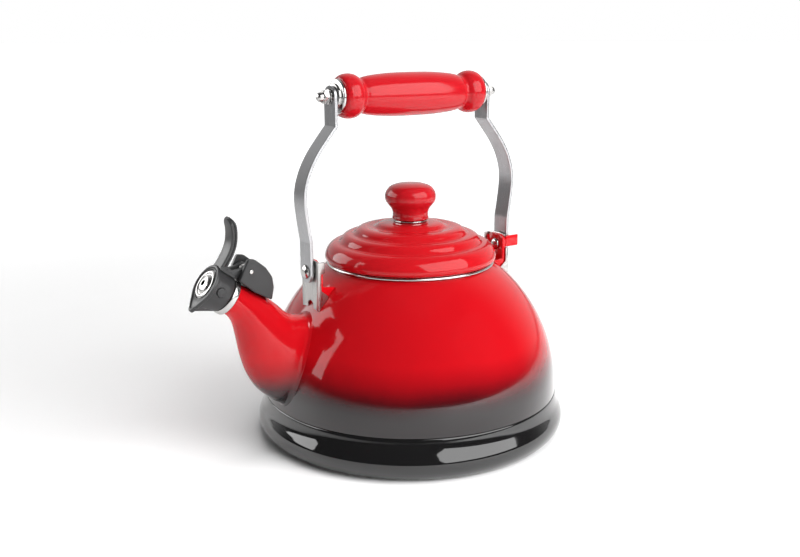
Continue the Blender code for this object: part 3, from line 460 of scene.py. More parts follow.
# Reach past the dome, rise as a share of the dome's, half height, half width, lean in degrees
spout_sections = [
    (-0.0460, 0.2652, 0.2624, 0.0172, 8), (-0.0131, 0.3215, 0.2840, 0.0172, 17),
    (-0.0006, 0.3777, 0.2615, 0.0173, 28), (0.0064, 0.4377, 0.2306, 0.0168, 38),
    (0.0115, 0.5201, 0.1903, 0.0158, 49), (0.0156, 0.6073, 0.1575, 0.0144, 54),
    (0.0206, 0.6851, 0.1256, 0.0126, 53), (0.0264, 0.7376, 0.1040, 0.0111, 45),
]
tip_centre = Vector((-dome_radius - tip_reach, 0, foot_height + tip_rise * dome_rise))
tip_aim = Vector((-math.cos(tip_lean), 0, math.sin(tip_lean)))
ovals = [
    (-dome_radius - reach, foot_height + rise * dome_rise, half * dome_rise, width, lean)
    for reach, rise, half, width, lean in spout_sections
]
for ahead, radius in ((-0.0046, tip_radius), (0.0002, tip_radius)):
    point = tip_centre + tip_aim * ahead
    ovals.append((point.x, point.z, radius, radius, math.degrees(tip_lean)))


def smooth_rows(rows, spans):
    """Rows of numbers, with smooth ones put between them."""
    columns = [smooth_run(list(enumerate(column)), spans) for column in zip(*rows)]
    return [tuple(point[1] for point in row) for row in zip(*columns)]


spout_round = 96


def oval_ring(centre_x, centre_z, half_height, half_width, lean, count=spout_round):
    """One oval of the spout, whose up direction leans by this angle in degrees towards +X."""
    up = Vector((math.sin(math.radians(lean)), 0, math.cos(math.radians(lean))))
    ring = []
    for i in range(count):
        turn = 2 * math.pi * i / count
        point = Vector((centre_x, 0, centre_z)) + up * half_height * math.cos(turn)
        ring.append(point - Vector((0, half_width * math.sin(turn), 0)))
    return ring


ovals = smooth_rows(ovals, 7)
spout_rings = [oval_ring(*oval) for oval in ovals]


def dome_surface_x(point, offset):
    """Where a line along X through the point meets the dome, grown by the offset."""
    share = (point.z - foot_height) / (dome_rise + offset)
    radius = (dome_radius + offset) * math.sqrt(max(0.0, 1 - share**2))
    return -math.sqrt(max(0.0, radius**2 - point.y**2))


# The root's flare: how far each ring stands off the dome, and how much wider it is
root_flare = [(0.00002, 0.0019), (0.0003, 0.0011), (0.0009, 0.0005), (0.0019, 0.0001)]


def tube_crossing(column, offset, halvings=20):
    """Where one line of the tube passes through the dome, grown by the offset."""
    for before, after in zip(column, column[1:]):
        outside = after.x < dome_surface_x(after, offset)
        if before.x >= dome_surface_x(before, offset) and outside:
            low, high = 0.0, 1.0
            for halving in range(halvings):
                middle = (low + high) / 2
                point = before.lerp(after, middle)
                if point.x < dome_surface_x(point, offset):
                    high = middle
                else:
                    low = middle
            return before.lerp(after, high)
    return column[-1]


columns = list(zip(*spout_rings))
root_rings = []
for offset, flare in root_flare:
    ring = []
    for i, column in enumerate(columns):
        crossing = tube_crossing(column, offset)
        turn = 2 * math.pi * i / spout_round
        outward = Vector((0, -math.sin(turn), math.cos(turn))) * flare
        point = crossing + outward
        point.x = dome_surface_x(point, offset)
        ring.append(point)
    root_rings.append(ring)
# From the root on, each line of the tube gets points at even steps
clear, least_step, row_count = 0.0034, 0.0006, 26
tube_rings = [[] for k in range(row_count + 1)]
for column in columns:
    start = tube_crossing(column, clear)
    rest = [start]
    for point in column:
        if point.x < min(dome_surface_x(point, clear) - least_step, start.x):
            rest.append(point)
    lengths = [0.0]
    for a, b in zip(rest, rest[1:]):
        lengths.append(lengths[-1] + (b - a).length)
    for k in range(row_count + 1):
        target = lengths[-1] * k / row_count
        j = max(n for n, value in enumerate(lengths) if value <= target + 1e-12)
        if j == len(rest) - 1:
            tube_rings[k].append(rest[-1].copy())
        else:
            share = (target - lengths[j]) / (lengths[j + 1] - lengths[j])
            tube_rings[k].append(rest[j].lerp(rest[j + 1], share))


def skinned(name, rings, closed_ends=False):
    """A skin over rings of equal count, drawn ring by ring from a circle primitive."""
    bpy.ops.object.select_all(action="DESELECT")
    bpy.ops.mesh.primitive_circle_add(vertices=len(rings[0]), radius=0.01)
    piece = bpy.context.object
    piece.name = piece.data.name = name
    bpy.ops.object.mode_set(mode="EDIT")
    shape = bmesh.from_edit_mesh(piece.data)
    for k, ring in enumerate(rings):
        if k:
            bpy.ops.mesh.extrude_edges_move(TRANSFORM_OT_translate={"value": (0, 0, 0)})
            shape = bmesh.from_edit_mesh(piece.data)
        shape.verts.ensure_lookup_table()
        chosen = [v for v in shape.verts if v.select]
        for vertex, point in zip(sorted(chosen, key=lambda v: v.index), ring):
            vertex.co = point
        bmesh.update_edit_mesh(piece.data)
    if closed_ends:
        shape.verts.ensure_lookup_table()
        count = len(rings[0])
        shape.faces.new(shape.verts[:count])
        shape.faces.new(shape.verts[-count:])
        bmesh.update_edit_mesh(piece.data)
    bpy.ops.mesh.select_all(action="SELECT")
    bpy.ops.mesh.normals_make_consistent(inside=False)
    bpy.ops.object.mode_set(mode="OBJECT")
    bpy.ops.object.shade_smooth_by_angle(angle=smooth_below)
    return piece


nozzle_rings = []
for ahead, radius in (
    (0.0007, tip_radius - 0.0001), (0.0012, nozzle_radius + 0.0003), (0.0015, nozzle_radius),
    (0.0027, nozzle_radius), (0.0030, nozzle_radius - 0.0003), (0.0031, nozzle_radius - 0.0008),
):
    centre = tip_centre + tip_aim * ahead
    nozzle_rings.append(oval_ring(centre.x, centre.z, radius, radius, math.degrees(tip_lean)))
spout = skinned("enamel_spout", root_rings + tube_rings + nozzle_rings)
wall_maker = spout.modifiers.new("wall", "SOLIDIFY")
wall_maker.thickness = wall
wall_maker.offset = -1
bpy.ops.object.modifier_apply(modifier="wall")
dress(spout, red_enamel, "kettle", "red_enamel", "spout")
flag(right_box, spout, "EXCLUDE")
flag(dome_fill, spout, "INCLUDE")
flag(ridge_box, spout, "INCLUDE")

# Ferrule ----------------------------------------------------------------------------------
# A bright turned ring pressed over the spout's tip, with eased edges. The whistle's cap closes
# against it.

tip_frame = Matrix.Translation(tip_centre) @ Matrix.Rotation(tip_lean - math.pi / 2, 4, "Y")
ferrule_radius = 0.0124
ferrule_outline = [
    (tip_radius + 0.0002, 0.0022),
    *smooth_run(
        [(ferrule_radius - 0.0010, 0.0022), (ferrule_radius - 0.0004, 0.0019),
         (ferrule_radius - 0.0001, 0.0012), (ferrule_radius, 0.0000),
         (ferrule_radius - 0.0001, -0.0015), (ferrule_radius - 0.0004, -0.0020),
         (ferrule_radius - 0.0011, -0.0022)],
        3,
    ),
    (tip_radius + 0.0002, -0.0022),
]
ferrule = place_piece(turned("bright_ferrule", ferrule_outline, 96), tip_frame)
dress(ferrule, bright_metal, "kettle", "bright_metal", "spout_ferrule")

# Lid --------------------------------------------------------------------------------------
# Pressed steel in three stepped rings, enamelled red all over, with an edge that curls under
# onto the rim band. A thin steel skirt under it centres it in the mouth.

lid_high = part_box("lid_shell")[1]
seat_height = band_high.z
lid_top = lid_high.z - seat_height
lid_edge = lid_high.y
lid_path = [(0.0030, lid_top)]
lid_steps = [
    (0.0110, 0.0), (0.0180, 0.0004), (0.0216, 0.0012), (0.0236, 0.0026), (0.0252, 0.0034),
    (0.0276, 0.0034), (0.0312, 0.0032), (0.0344, 0.0037), (0.0368, 0.0051), (0.0383, 0.0068),
    (0.0398, 0.0078), (0.0418, 0.0079), (0.0441, 0.0083), (0.0462, 0.0096), (0.0479, 0.0118),
    (0.0492, 0.0132), (0.0510, 0.0136), (0.0532, 0.0141), (0.0554, 0.0155), (0.0574, 0.0181),
    (lid_edge - 0.0002, 0.0213), (lid_edge, 0.0233),
]
lid_path += smooth_run(
    [*((radius, lid_top - drop) for radius, drop in lid_steps),
     (lid_edge - 0.0006, 0.0015), (lid_edge - 0.0016, 0.0006), (lid_edge - 0.0028, 0.0004)],
    4,
)
lid = turned("enamel_lid", sheet_outline(lid_path, wall), 192)
place_piece(lid, Matrix.Translation((0, 0, seat_height)))
# The lid's enamel is the dome's red made darker: painted shade that tones down the stronger light
# falling on the lid
lid_enamel_painted_shade, shader, tree = new_material(
    "lid_enamel_painted_shade", (0.5400, 0.0080, 0.0130), 0.07, Coat_Weight=0.10, **enamel_numbers
)
coat_surface(tree, shader, 75.0, 0.00006, 0.05, 0.11)
dress(lid, lid_enamel_painted_shade, "lid", "red_enamel", "lid_shell")

skirt_outer = mouth_radius - 0.0027
skirt_low, skirt_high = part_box("lid_skirt")
skirt_outline = [
    (skirt_outer - 0.0008, skirt_high.z), (skirt_outer, skirt_high.z),
    (skirt_outer, skirt_low.z + 0.0008), (skirt_outer - 0.0003, skirt_low.z + 0.0001),
    (skirt_outer - 0.0008, skirt_low.z),
]
skirt = turned("lid_centring_skirt", skirt_outline, 128)
dress(skirt, bright_metal, "lid", "bright_metal", "lid_skirt")

# Knob -------------------------------------------------------------------------------------
# A glossy red mushroom, moulded from resin, on a thin bright washer. A screw from under the lid
# holds it.

knob_low, knob_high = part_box("lid_knob")
knob_radius = knob_high.y
knob_neck, screw_bore, screw_depth = 0.0124, 0.0027, 0.0143
knob_path = [
    (screw_bore, knob_low.z), (knob_neck - 0.0006, knob_low.z),
    *smooth_run(
        [(knob_neck - 0.0001, knob_low.z + 0.0003), (knob_neck, knob_low.z + 0.0012),
         (knob_neck - 0.0003, knob_low.z + 0.0030), (knob_neck + 0.0001, knob_low.z + 0.0058),
         (knob_neck + 0.0013, knob_low.z + 0.0082), (knob_neck + 0.0032, knob_low.z + 0.0104),
         (knob_radius - 0.0003, knob_low.z + 0.0129), (knob_radius, knob_low.z + 0.0155),
         (knob_radius - 0.0004, knob_low.z + 0.0182), (knob_radius - 0.0018, knob_low.z + 0.0206),
         (knob_radius - 0.0040, knob_low.z + 0.0226), (knob_radius - 0.0080, knob_low.z + 0.0240),
         (0.0050, knob_high.z - 0.0001), (0.0, knob_high.z)],
        4,
    ),
    (0.0, knob_low.z + screw_depth), (screw_bore, knob_low.z + screw_depth),
]
knob = turned("moulded_knob", knob_path, 128)
red_gloss, shader, tree = new_material("red_gloss", (0.5000, 0.0090, 0.0150), 0.12)
set_inputs(shader, IOR=1.50, Specular_IOR_Level=0.27, Coat_Weight=0.10, Coat_Roughness=0.03)
coat_surface(tree, shader, 130.0, 0.00004, 0.09, 0.18)
dress(knob, red_gloss, "lid", "red_gloss", "lid_knob")

washer_low, washer_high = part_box("knob_washer")
washer_outer = washer_high.y
washer_outline = [
    (screw_bore, washer_high.z), (washer_outer - 0.0005, washer_high.z),
    (washer_outer - 0.0001, washer_high.z - 0.0002), (washer_outer, washer_high.z - 0.0006),
    (washer_outer - 0.0001, washer_low.z + 0.0001), (washer_outer - 0.0004, washer_low.z),
    (screw_bore, washer_low.z),
]
knob_washer = turned("bright_knob_washer", washer_outline, 96)
dress(knob_washer, bright_metal, "lid", "bright_metal", "knob_washer")

# Screw and washer under the knob ------------------------------------------------------------
# A round-headed steel screw and its plain washer, inside the lid, where they show when it is
# turned over.

brushed_steel, shader, tree = new_material("brushed_steel", (0.48, 0.47, 0.46), 0.30, 1.0)
metal_surface(tree, shader, (1, 1, 0.05), 1400.0, 0.00001, 0.24, 0.40)
screw_low, screw_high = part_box("knob_screw")
screw_radius, screw_head = 0.0024, 0.0048
head_top = screw_low.z + 0.0027
screw_outline = [
    (0.0, screw_high.z), (screw_radius - 0.0005, screw_high.z),
    (screw_radius, screw_high.z - 0.0005), (screw_radius, head_top),
    (screw_head - 0.0002, head_top),
    *smooth_run(
        [(screw_head, head_top - 0.0003), (screw_head - 0.0003, head_top - 0.0013),
         (screw_head - 0.0016, head_top - 0.0022), (0.0, screw_low.z)],
        3,
    ),
]
dress(turned("lid_screw", screw_outline, 48), brushed_steel, "lid", "brushed_steel", "knob_screw")
flat_low, flat_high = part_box("knob_screw_washer")
flat_outline = [
    (screw_bore, flat_high.z), (flat_high.y - 0.0001, flat_high.z), (flat_high.y, flat_high.z - 0.0001),
    (flat_high.y, flat_low.z + 0.0002), (flat_high.y - 0.0002, flat_low.z),
    (screw_bore, flat_low.z),
]
flat_washer = turned("lid_screw_washer", flat_outline, 64)
dress(flat_washer, brushed_steel, "lid", "brushed_steel", "knob_screw_washer")

# Grip -------------------------------------------------------------------------------------
# A turned and glossy red grip with a bead and a neck at each end. It is bored through for its
# tie rod.

grip_low, grip_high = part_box("grip")
grip_height = (grip_low.z + grip_high.z) / 2
grip_half = grip_high.x
grip_radius = grip_high.y
rod_radius, rod_gap = 0.0025, 0.0003
# Distance in from the grip's end, and depth below its widest radius
grip_steps = [
    (0.0000, 0.0040), (0.0004, 0.0028), (0.0016, 0.0014), (0.0038, 0.0004), (0.0070, 0.0),
    (0.0100, 0.0004), (0.0122, 0.0014), (0.0138, 0.0028), (0.0149, 0.0034), (0.0160, 0.0034),
    (0.0180, 0.0026), (0.0215, 0.0018), (0.0280, 0.0010), (0.0400, 0.0002), (0.0550, 0.0),
]
from_end = smooth_run([(along, grip_radius - deep) for along, deep in grip_steps], 4)
grip_outline = [(radius, grip_half - along) for along, radius in from_end]
grip_outline += [(radius, along - grip_half) for along, radius in from_end[-2::-1]]
grip_outline += [(rod_radius + rod_gap, -grip_half), (rod_radius + rod_gap, grip_half)]
grip_frame = Matrix.Translation((0, 0, grip_height)) @ Matrix.Rotation(math.pi / 2, 4, "Y")
grip = place_piece(turned("turned_grip", grip_outline, 128), grip_frame)
dress(grip, red_gloss, "bail", "red_gloss", "grip")

# Ends of the grip ---------------------------------------------------------------------------
# From the grip outwards: a stepped cup, the strap, a lock washer and an acorn nut, on the ends
# of a plain steel rod.

rod_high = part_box("grip_rod")[1]
rod_outline = [
    (0.0, rod_high.x), (rod_radius - 0.0004, rod_high.x), (rod_radius, rod_high.x - 0.0004),
    (rod_radius, 0.0004 - rod_high.x), (rod_radius - 0.0004, -rod_high.x), (0.0, -rod_high.x),
]
rod = place_piece(turned("tie_rod", rod_outline, 32), grip_frame)
dress(rod, brushed_steel, "bail", "brushed_steel", "grip_rod")


def cup_outline(inside, outside):
    """A stepped cup between these two distances from the grip's middle."""
    bore = rod_radius + rod_gap
    return [
        (bore, outside), (0.0076, outside),
        *smooth_run([(0.0080, outside - 0.0001), (0.0083, outside - 0.0005)], 2),
        (0.0083, inside + 0.0021), (0.0088, inside + 0.0018),
        *smooth_run(
            [(0.0100, inside + 0.0018), (0.0107, inside + 0.0015), (0.0110, inside + 0.0009),
             (0.0110, inside + 0.0002), (0.0108, inside)],
            3,
        ),
        (bore, inside),
    ]


def nut_dome_outline(inside, outside):
    """The round end of an acorn nut, hollow where the rod comes in."""
    bore = rod_radius + rod_gap
    round_start = outside - 0.0034
    return [
        (0.0, outside),
        *smooth_run(
            [(0.0011, outside - 0.0001), (0.0022, outside - 0.0007), (0.0029, outside - 0.0017),
             (0.0032, round_start)],
            3,
        ),
        (0.0032, inside + 0.0030), (0.0032, inside + 0.0002), (bore, inside + 0.0002),
        (bore, outside - 0.0016), (0.0, outside - 0.0016),
    ]


def pick(piece):
    """Makes a piece the only selected one, and the active one."""
    bpy.ops.object.select_all(action="DESELECT")
    piece.select_set(True)
    bpy.context.view_layer.objects.active = piece


def apply_boolean(piece, tool, operation="DIFFERENCE"):
    """Cuts or joins a piece with a tool, which is then removed."""
    boolean = piece.modifiers.new("work", "BOOLEAN")
    boolean.operation = operation
    boolean.object = tool
    pick(piece)
    bpy.ops.object.modifier_apply(modifier="work")
    bpy.data.objects.remove(tool)
    return piece


def hexagon_nut(name, inside, outside):
    """A hexagon with chamfered corners, joined to its dome and bored for the rod."""
    across_corners, height = 0.0046, 0.0036
    bpy.ops.object.select_all(action="DESELECT")
    bpy.ops.mesh.primitive_cylinder_add(
        vertices=6, radius=across_corners, depth=height, location=(0, 0, inside + height / 2)
    )
    hexagon = bpy.context.object
    hexagon.name = hexagon.data.name = name
    bpy.ops.object.transform_apply(location=True, rotation=True, scale=True)
    bpy.ops.mesh.primitive_cone_add(
        vertices=64,
        radius1=across_corners + 0.0022,
        radius2=across_corners - 0.0006,
        depth=height,
        location=(0, 0, inside + height / 2),
    )
    chamfer = bpy.context.object
    dome_of_nut = turned(name + "_dome", nut_dome_outline(inside, outside), 64)
    bpy.ops.mesh.primitive_cylinder_add(
        vertices=48, radius=rod_radius + rod_gap, depth=height, location=(0, 0, inside + 0.0010)
    )
    bore = bpy.context.object
    for tool, work in ((chamfer, "INTERSECT"), (bore, "DIFFERENCE"), (dome_of_nut, "UNION")):
        apply_boolean(hexagon, tool, work)
    bpy.ops.object.shade_smooth_by_angle(angle=math.radians(30))
    return hexagon


def toothed_washer(name, inside, outside):
    """A ring with small teeth round it, bent a little out of flat."""
    middle = (inside + outside) / 2
    bore, rim, tooth_count = rod_radius + rod_gap, 0.0050, 12
    washer = turned(name, [(bore, outside), (rim, outside), (rim, inside), (bore, inside)], 72)
    for vertex in washer.data.vertices:
        radius = math.hypot(vertex.co.x, vertex.co.y)
        if radius > rim - 0.0005:
            turn = math.atan2(vertex.co.y, vertex.co.x)
            wave = math.cos(turn * tooth_count)
            vertex.co.x *= 1 - 0.05 * (1 - wave)
            vertex.co.y *= 1 - 0.05 * (1 - wave)
            vertex.co.z = middle + (vertex.co.z - middle) * (0.75 + 0.25 * wave)
    return washer


for end, turn in (("rear", 0), ("front", math.pi)):
    end_frame = grip_frame @ Matrix.Rotation(turn, 4, "X")
    cup_low, cup_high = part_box("rear_end_cup")
    cup = turned(end + "_stepped_cup", cup_outline(cup_low.x, cup_high.x), 96)
    dress(place_piece(cup, end_frame), bright_metal, "bail", "bright_metal", end + "_end_cup")
    ring_low, ring_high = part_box("rear_lock_washer")
    ring = toothed_washer(end + "_toothed_washer", ring_low.x, ring_high.x)
    ring = place_piece(ring, end_frame)
    dress(ring, brushed_steel, "bail", "brushed_steel", end + "_lock_washer")
    nut_low, nut_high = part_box("rear_acorn_nut")
    nut = hexagon_nut(end + "_domed_nut", nut_low.x, nut_high.x)
    dress(place_piece(nut, end_frame), bright_metal, "bail", "bright_metal", end + "_acorn_nut")

# Straps -----------------------------------------------------------------------------------
# Flat stainless strip, brushed lengthwise, rounded at both ends and bent to an S: out past the
# lid, then in over a shoulder to the grip.

strap_low, strap_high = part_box("rear_strap")
strap_half_width = strap_high.y
strap_thickness = 0.0020
pivot_spread = 0.0806
pivot_height = seat_height + 0.0018
strap_top_middle = grip_half + rod_gap + 0.0039 + rod_gap + strap_thickness / 2
shoulder = grip_height - 0.0185 - pivot_height
# Share of the way up to the shoulder, how far it bows out, and its share of the way in
strap_bends = [
    (0.217, 0.0000, 0.00), (0.326, 0.0016, 0.00), (0.489, 0.0033, 0.00), (0.598, 0.0025, 0.00),
    (0.707, 0.0000, 0.04), (0.815, 0.0000, 0.32), (0.924, 0.0000, 0.71), (1.000, 0.0000, 1.00),
]
strap_inward = pivot_spread - strap_top_middle
strap_rise = [
    (pivot_spread + bow - strap_inward * share_in, pivot_height + shoulder * share)
    for share, bow, share_in in strap_bends
]
strap_path = [(pivot_spread, strap_low.z), *smooth_run(strap_rise, 8)]
strap_path += [(strap_top_middle, strap_high.z)]


def even_points(path, spacing):
    """The same path, with points every so often along it."""
    lengths = [0.0]
    for a, b in zip(path, path[1:]):
        lengths.append(lengths[-1] + math.dist(a, b))
    count = math.ceil(lengths[-1] / spacing)
    points = []
    for k in range(count + 1):
        target = lengths[-1] * k / count
        j = min(max(n for n, v in enumerate(lengths) if v <= target + 1e-12), len(path) - 2)
        share = (target - lengths[j]) / (lengths[j + 1] - lengths[j])
        points.append(tuple(a + share * (b - a) for a, b in zip(path[j], path[j + 1])))
    return points, lengths[-1]


def rounded_strip(name, path, half_width, thickness, side):
    """A strip along a path in the XZ plane, with round ends and its length kept in a UV map."""
    points, length = even_points(path, 0.0008)
    across = 10
    rows, along = [], 0.0
    for k, point in enumerate(points):
        if k:
            along += math.dist(points[k - 1], point)
        from_tip = min(along, length - along)
        reach = half_width
        if from_tip < half_width:
            reach = math.sqrt(max(half_width**2 - (half_width - from_tip) ** 2, 1e-8))
        rows.append((point, along, reach))
    bpy.ops.object.select_all(action="DESELECT")
    bpy.ops.mesh.primitive_grid_add(
        x_subdivisions=across, y_subdivisions=len(rows) - 1, size=1, location=(0, 0, 0)
    )
    strip = bpy.context.object
    strip.name = strip.data.name = name
    columns = across + 1
    for vertex in strip.data.vertices:
        row, column = divmod(vertex.index, columns)
        point, along, reach = rows[row]
        vertex.co = (side * point[0], reach * (2 * column / across - 1), point[1])
    uv = strip.data.uv_layers.active.data
    for loop in strip.data.loops:
        point, along, reach = rows[loop.vertex_index // columns]
        uv[loop.index].uv = (along, strip.data.vertices[loop.vertex_index].co.y)
    for kind, values in (
        ("SOLIDIFY", {"thickness": thickness, "offset": 0, "use_even_offset": True}),
        ("BEVEL", {"width": 0.00028, "segments": 2, "limit_method": "ANGLE"}),
    ):
        modifier = strip.modifiers.new(kind, kind)
        for key, value in values.items():
            setattr(modifier, key, value)
        bpy.ops.object.modifier_apply(modifier=kind)
    bpy.ops.object.mode_set(mode="EDIT")
    bpy.ops.mesh.select_all(action="SELECT")
    bpy.ops.mesh.normals_make_consistent(inside=False)
    bpy.ops.object.mode_set(mode="OBJECT")
    bpy.ops.object.shade_smooth_by_angle(angle=smooth_below)
    return strip


strap_steel, shader, tree = new_material("strap_steel", (0.46, 0.46, 0.47), 0.30, 1.0)
metal_surface(tree, shader, (0.02, 1, 1), 5000.0, 0.000016, 0.26, 0.42, "UV")
for end, side in (("front", -1), ("rear", 1)):
    strap = rounded_strip(
        end + "_bail_strap", strap_path, strap_half_width, strap_thickness, side
    )
    dress(strap, strap_steel, "bail", "brushed_steel", end + "_strap")
    flag(left_box, strap, "EXCLUDE")

# Pivots -----------------------------------------------------------------------------------
# A bright round-headed rivet holds each strap, through a thin steel washer, to its bracket and
# its lug. The strap turns on it.

rivet_low, rivet_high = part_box("rear_pivot_rivet")
rivet_head, rivet_shank = 0.0046, 0.0026
head_under = pivot_spread + strap_thickness / 2 + rod_gap
tail_under = rivet_low.x + 0.0024
rivet_outline = [
    (0.0, rivet_high.x),
    *smooth_run(
        [(0.0014, rivet_high.x - 0.0001), (0.0030, rivet_high.x - 0.0006),
         (0.0041, rivet_high.x - 0.0013), (rivet_head, head_under + 0.0002),
         (rivet_head - 0.0001, head_under)],
        3,
    ),
    (rivet_shank, head_under), (rivet_shank, tail_under), (0.0039, tail_under),
    *smooth_run(
        [(0.0041, tail_under - 0.0003), (0.0037, tail_under - 0.0012),
         (0.0022, tail_under - 0.0021), (0.0, rivet_low.x)],
        3,
    ),
]
thin_low, thin_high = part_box("rear_pivot_washer")
thin_outline = [
    (rivet_shank + rod_gap, thin_high.x), (thin_high.y - 0.0001, thin_high.x),
    (thin_high.y, thin_high.x - 0.0001), (thin_high.y, thin_low.x),
    (rivet_shank + rod_gap, thin_low.x),
]
for end, side in (("front", -1), ("rear", 1)):
    pivot_frame = Matrix.Translation((0, 0, pivot_height)) @ Matrix.Rotation(
        side * math.pi / 2, 4, "Y"
    )
    rivet = place_piece(turned(end + "_strap_rivet", rivet_outline, 48), pivot_frame)
    dress(rivet, bright_metal, "kettle", "bright_metal", end + "_pivot_rivet")
    washer = place_piece(turned(end + "_thin_washer", thin_outline, 48), pivot_frame)
    dress(washer, brushed_steel, "kettle", "brushed_steel", end + "_pivot_washer")

# Brackets and lugs --------------------------------------------------------------------------
# Stainless channels outside, enamelled ones inside, welded on the dome's shoulder. All are bent
# sheet with eased edges. A small enamelled tab past the rear ones stops the bail.


def ease_edges(piece, width, segments=3, angle=30):
    """Rounds a piece's edges that turn by more than the angle, in degrees."""
    easing = piece.modifiers.new("easing", "BEVEL")
    easing.width = width
    easing.segments = segments
    easing.limit_method = "ANGLE"
    easing.angle_limit = math.radians(angle)
    pick(piece)
    bpy.ops.object.modifier_apply(modifier="easing")
    bpy.ops.object.shade_smooth_by_angle(angle=smooth_below)
    return piece


def eased_copy(name, node, width, segments=2):
    """A copy of a sheet or moulded piece with its flat faces made whole and its edges eased."""
    piece = cad_nodes[node].copy()
    piece.data = cad_nodes[node].data.copy()
    piece.name = piece.data.name = name
    for key in list(piece.keys()):
        del piece[key]
    piece.parent = None
    bpy.context.scene.collection.objects.link(piece)
    pick(piece)
    bpy.ops.object.mode_set(mode="EDIT")
    bpy.ops.mesh.select_all(action="SELECT")
    bpy.ops.mesh.remove_doubles(threshold=0.00001)
    bpy.ops.mesh.dissolve_limited(angle_limit=math.radians(2))
    bpy.ops.object.mode_set(mode="OBJECT")
    return ease_edges(piece, width, segments)


for end in ("front", "rear"):
    bracket = eased_copy(end + "_steel_channel", end + "_bracket", 0.00025)
    dress(bracket, brushed_steel, "kettle", "brushed_steel", end + "_bracket")
    lug = eased_copy(end + "_enamel_lug", end + "_lug", 0.0004)
    dress(lug, red_enamel, "kettle", "red_enamel", end + "_lug")
stop_tab = eased_copy("enamel_stop_tab", "bail_stop", 0.0005, 3)
dress(stop_tab, red_enamel, "kettle", "red_enamel", "bail_stop")

# Hinge block --------------------------------------------------------------------------------
# Two black moulded cheeks, joined behind and below, riveted to the ridge of the spout. They
# carry the whistle's steel pin. The cheeks' outer edges are well rounded.

black_plastic, shader, tree = new_material("black_plastic", (0.028, 0.028, 0.029), 0.34)
set_inputs(shader, IOR=1.49)
where = new_node(tree, "TexCoord")
grain = new_node(tree, "TexNoise", Scale=2400.0, Detail=2.0)
grain_bump = new_node(tree, "Bump", Distance=0.000012)
rub = new_node(tree, "TexNoise", Scale=160.0, Detail=4.0)
join(where, "Object", grain, "Vector")
join(where, "Object", rub, "Vector")
join(grain, "Fac", grain_bump, "Height")
join(grain_bump, "Normal", shader, "Normal")
join(map_range(rub, "Fac", 0.3, 0.7, 0.28, 0.40), "Result", shader, "Roughness")

pin_ahead, pin_above = -0.0019, 0.0200
pin_in_tip = Matrix.Translation((pin_above, 0, pin_ahead))
pin_centre = (tip_frame @ pin_in_tip).translation


def drawn_plate(name, outline, thickness):
    """A closed outline in the XZ plane, extruded along Y by its thickness about the middle."""
    piece = start_outline(name, outline, -thickness / 2)
    bpy.ops.mesh.edge_face_add()
    bpy.ops.mesh.extrude_region_move(TRANSFORM_OT_translate={"value": (0, thickness, 0)})
    bpy.ops.mesh.select_all(action="SELECT")
    bpy.ops.mesh.normals_make_consistent(inside=False)
    bpy.ops.object.mode_set(mode="OBJECT")
    return piece


def round_bar(name, radius, length, centre, sides=48):
    """A round bar or cutter along Y."""
    bpy.ops.object.select_all(action="DESELECT")
    bpy.ops.mesh.primitive_cylinder_add(
        vertices=sides, radius=radius, depth=length, location=centre, rotation=(math.pi / 2, 0, 0)
    )
    bar = bpy.context.object
    bar.name = bar.data.name = name
    bpy.ops.object.transform_apply(location=True, rotation=True, scale=True)
    return bar


def rounded_outline(corners, spans=6):
    """A closed outline from (x, z, corner radius), with each corner made an arc."""
    outline = []
    count = len(corners)
    for i in range(count):
        before, here, after = corners[i - 1], corners[i], corners[(i + 1) % count]
        point = Vector(here[:2])
        back = (Vector(before[:2]) - point).normalized()
        on = (Vector(after[:2]) - point).normalized()
        half_angle = math.acos(max(-1, min(1, back.dot(on)))) / 2
        cut_back = here[2] / math.tan(half_angle)
        start, end = point + back * cut_back, point + on * cut_back
        centre = point + (back + on).normalized() * (here[2] / math.sin(half_angle))
        for k in range(spans + 1):
            share = k / spans
            spoke = (start - centre).lerp(end - centre, share)
            spot = centre + spoke.normalized() * here[2] if here[2] else point
            outline.append((spot.x, spot.y))
            if not here[2]:
                break
    return outline


block_half, cheek = 0.0100, 0.0028
block_corners = [
    (-0.0080, -0.0048, 0.0012), (-0.0046, 0.0022, 0.0030), (-0.0016, 0.0080, 0.0020),
    (0.0030, 0.0072, 0.0040), (0.0100, 0.0014, 0.0050), (0.0142, -0.0052, 0.0060),
    (0.0150, -0.0120, 0.0030), (0.0134, -0.0200, 0.0010), (0.0020, -0.0136, 0.0010),
]
block_outline = [
    (pin_centre.x + x, pin_centre.z + z) for x, z in rounded_outline(block_corners)
]
block = drawn_plate("hinge_cheeks", block_outline, 2 * block_half)
ease_edges(block, 0.0016, 4, 50)
slot_outline = [
    (-0.0150, 0.0150), (-0.0150, -0.0200), (-0.0008, -0.0200), (-0.0008, -0.0084),
    (0.0085, -0.0124), (0.0085, 0.0150),
]
slot = drawn_plate(
    "cheek_slot",
    [(pin_centre.x + x, pin_centre.z + z) for x, z in slot_outline],
    2 * (block_half - cheek),
)
apply_boolean(block, slot)
spout_clear, first_oval, saddle_round = 0.0003, 14, 64
fat_rings = [
    oval_ring(x, z, half_height + spout_clear, half_width + spout_clear, lean, saddle_round)
    for x, z, half_height, half_width, lean in ovals[first_oval:]
]
apply_boolean(block, skinned("spout_saddle", fat_rings, closed_ends=True))
pin_radius = 0.0013
apply_boolean(block, round_bar("pin_hole", pin_radius + 0.0002, 0.03, pin_centre))
ease_edges(block, 0.00018, 1, 40)
dress(block, black_plastic, "kettle", "black_plastic", "hinge_block")

pin = round_bar("steel_hinge_pin", pin_radius, 2 * (block_half + 0.0003), pin_centre, 32)
ease_edges(pin, 0.0003, 2, 40)
dress(pin, bright_metal, "kettle", "bright_metal", "hinge_pin")

ridge_rivet = eased_copy("block_ridge_rivet", "hinge_block_rivet", 0.0002)
dress(ridge_rivet, bright_metal, "kettle", "bright_metal", "hinge_block_rivet")

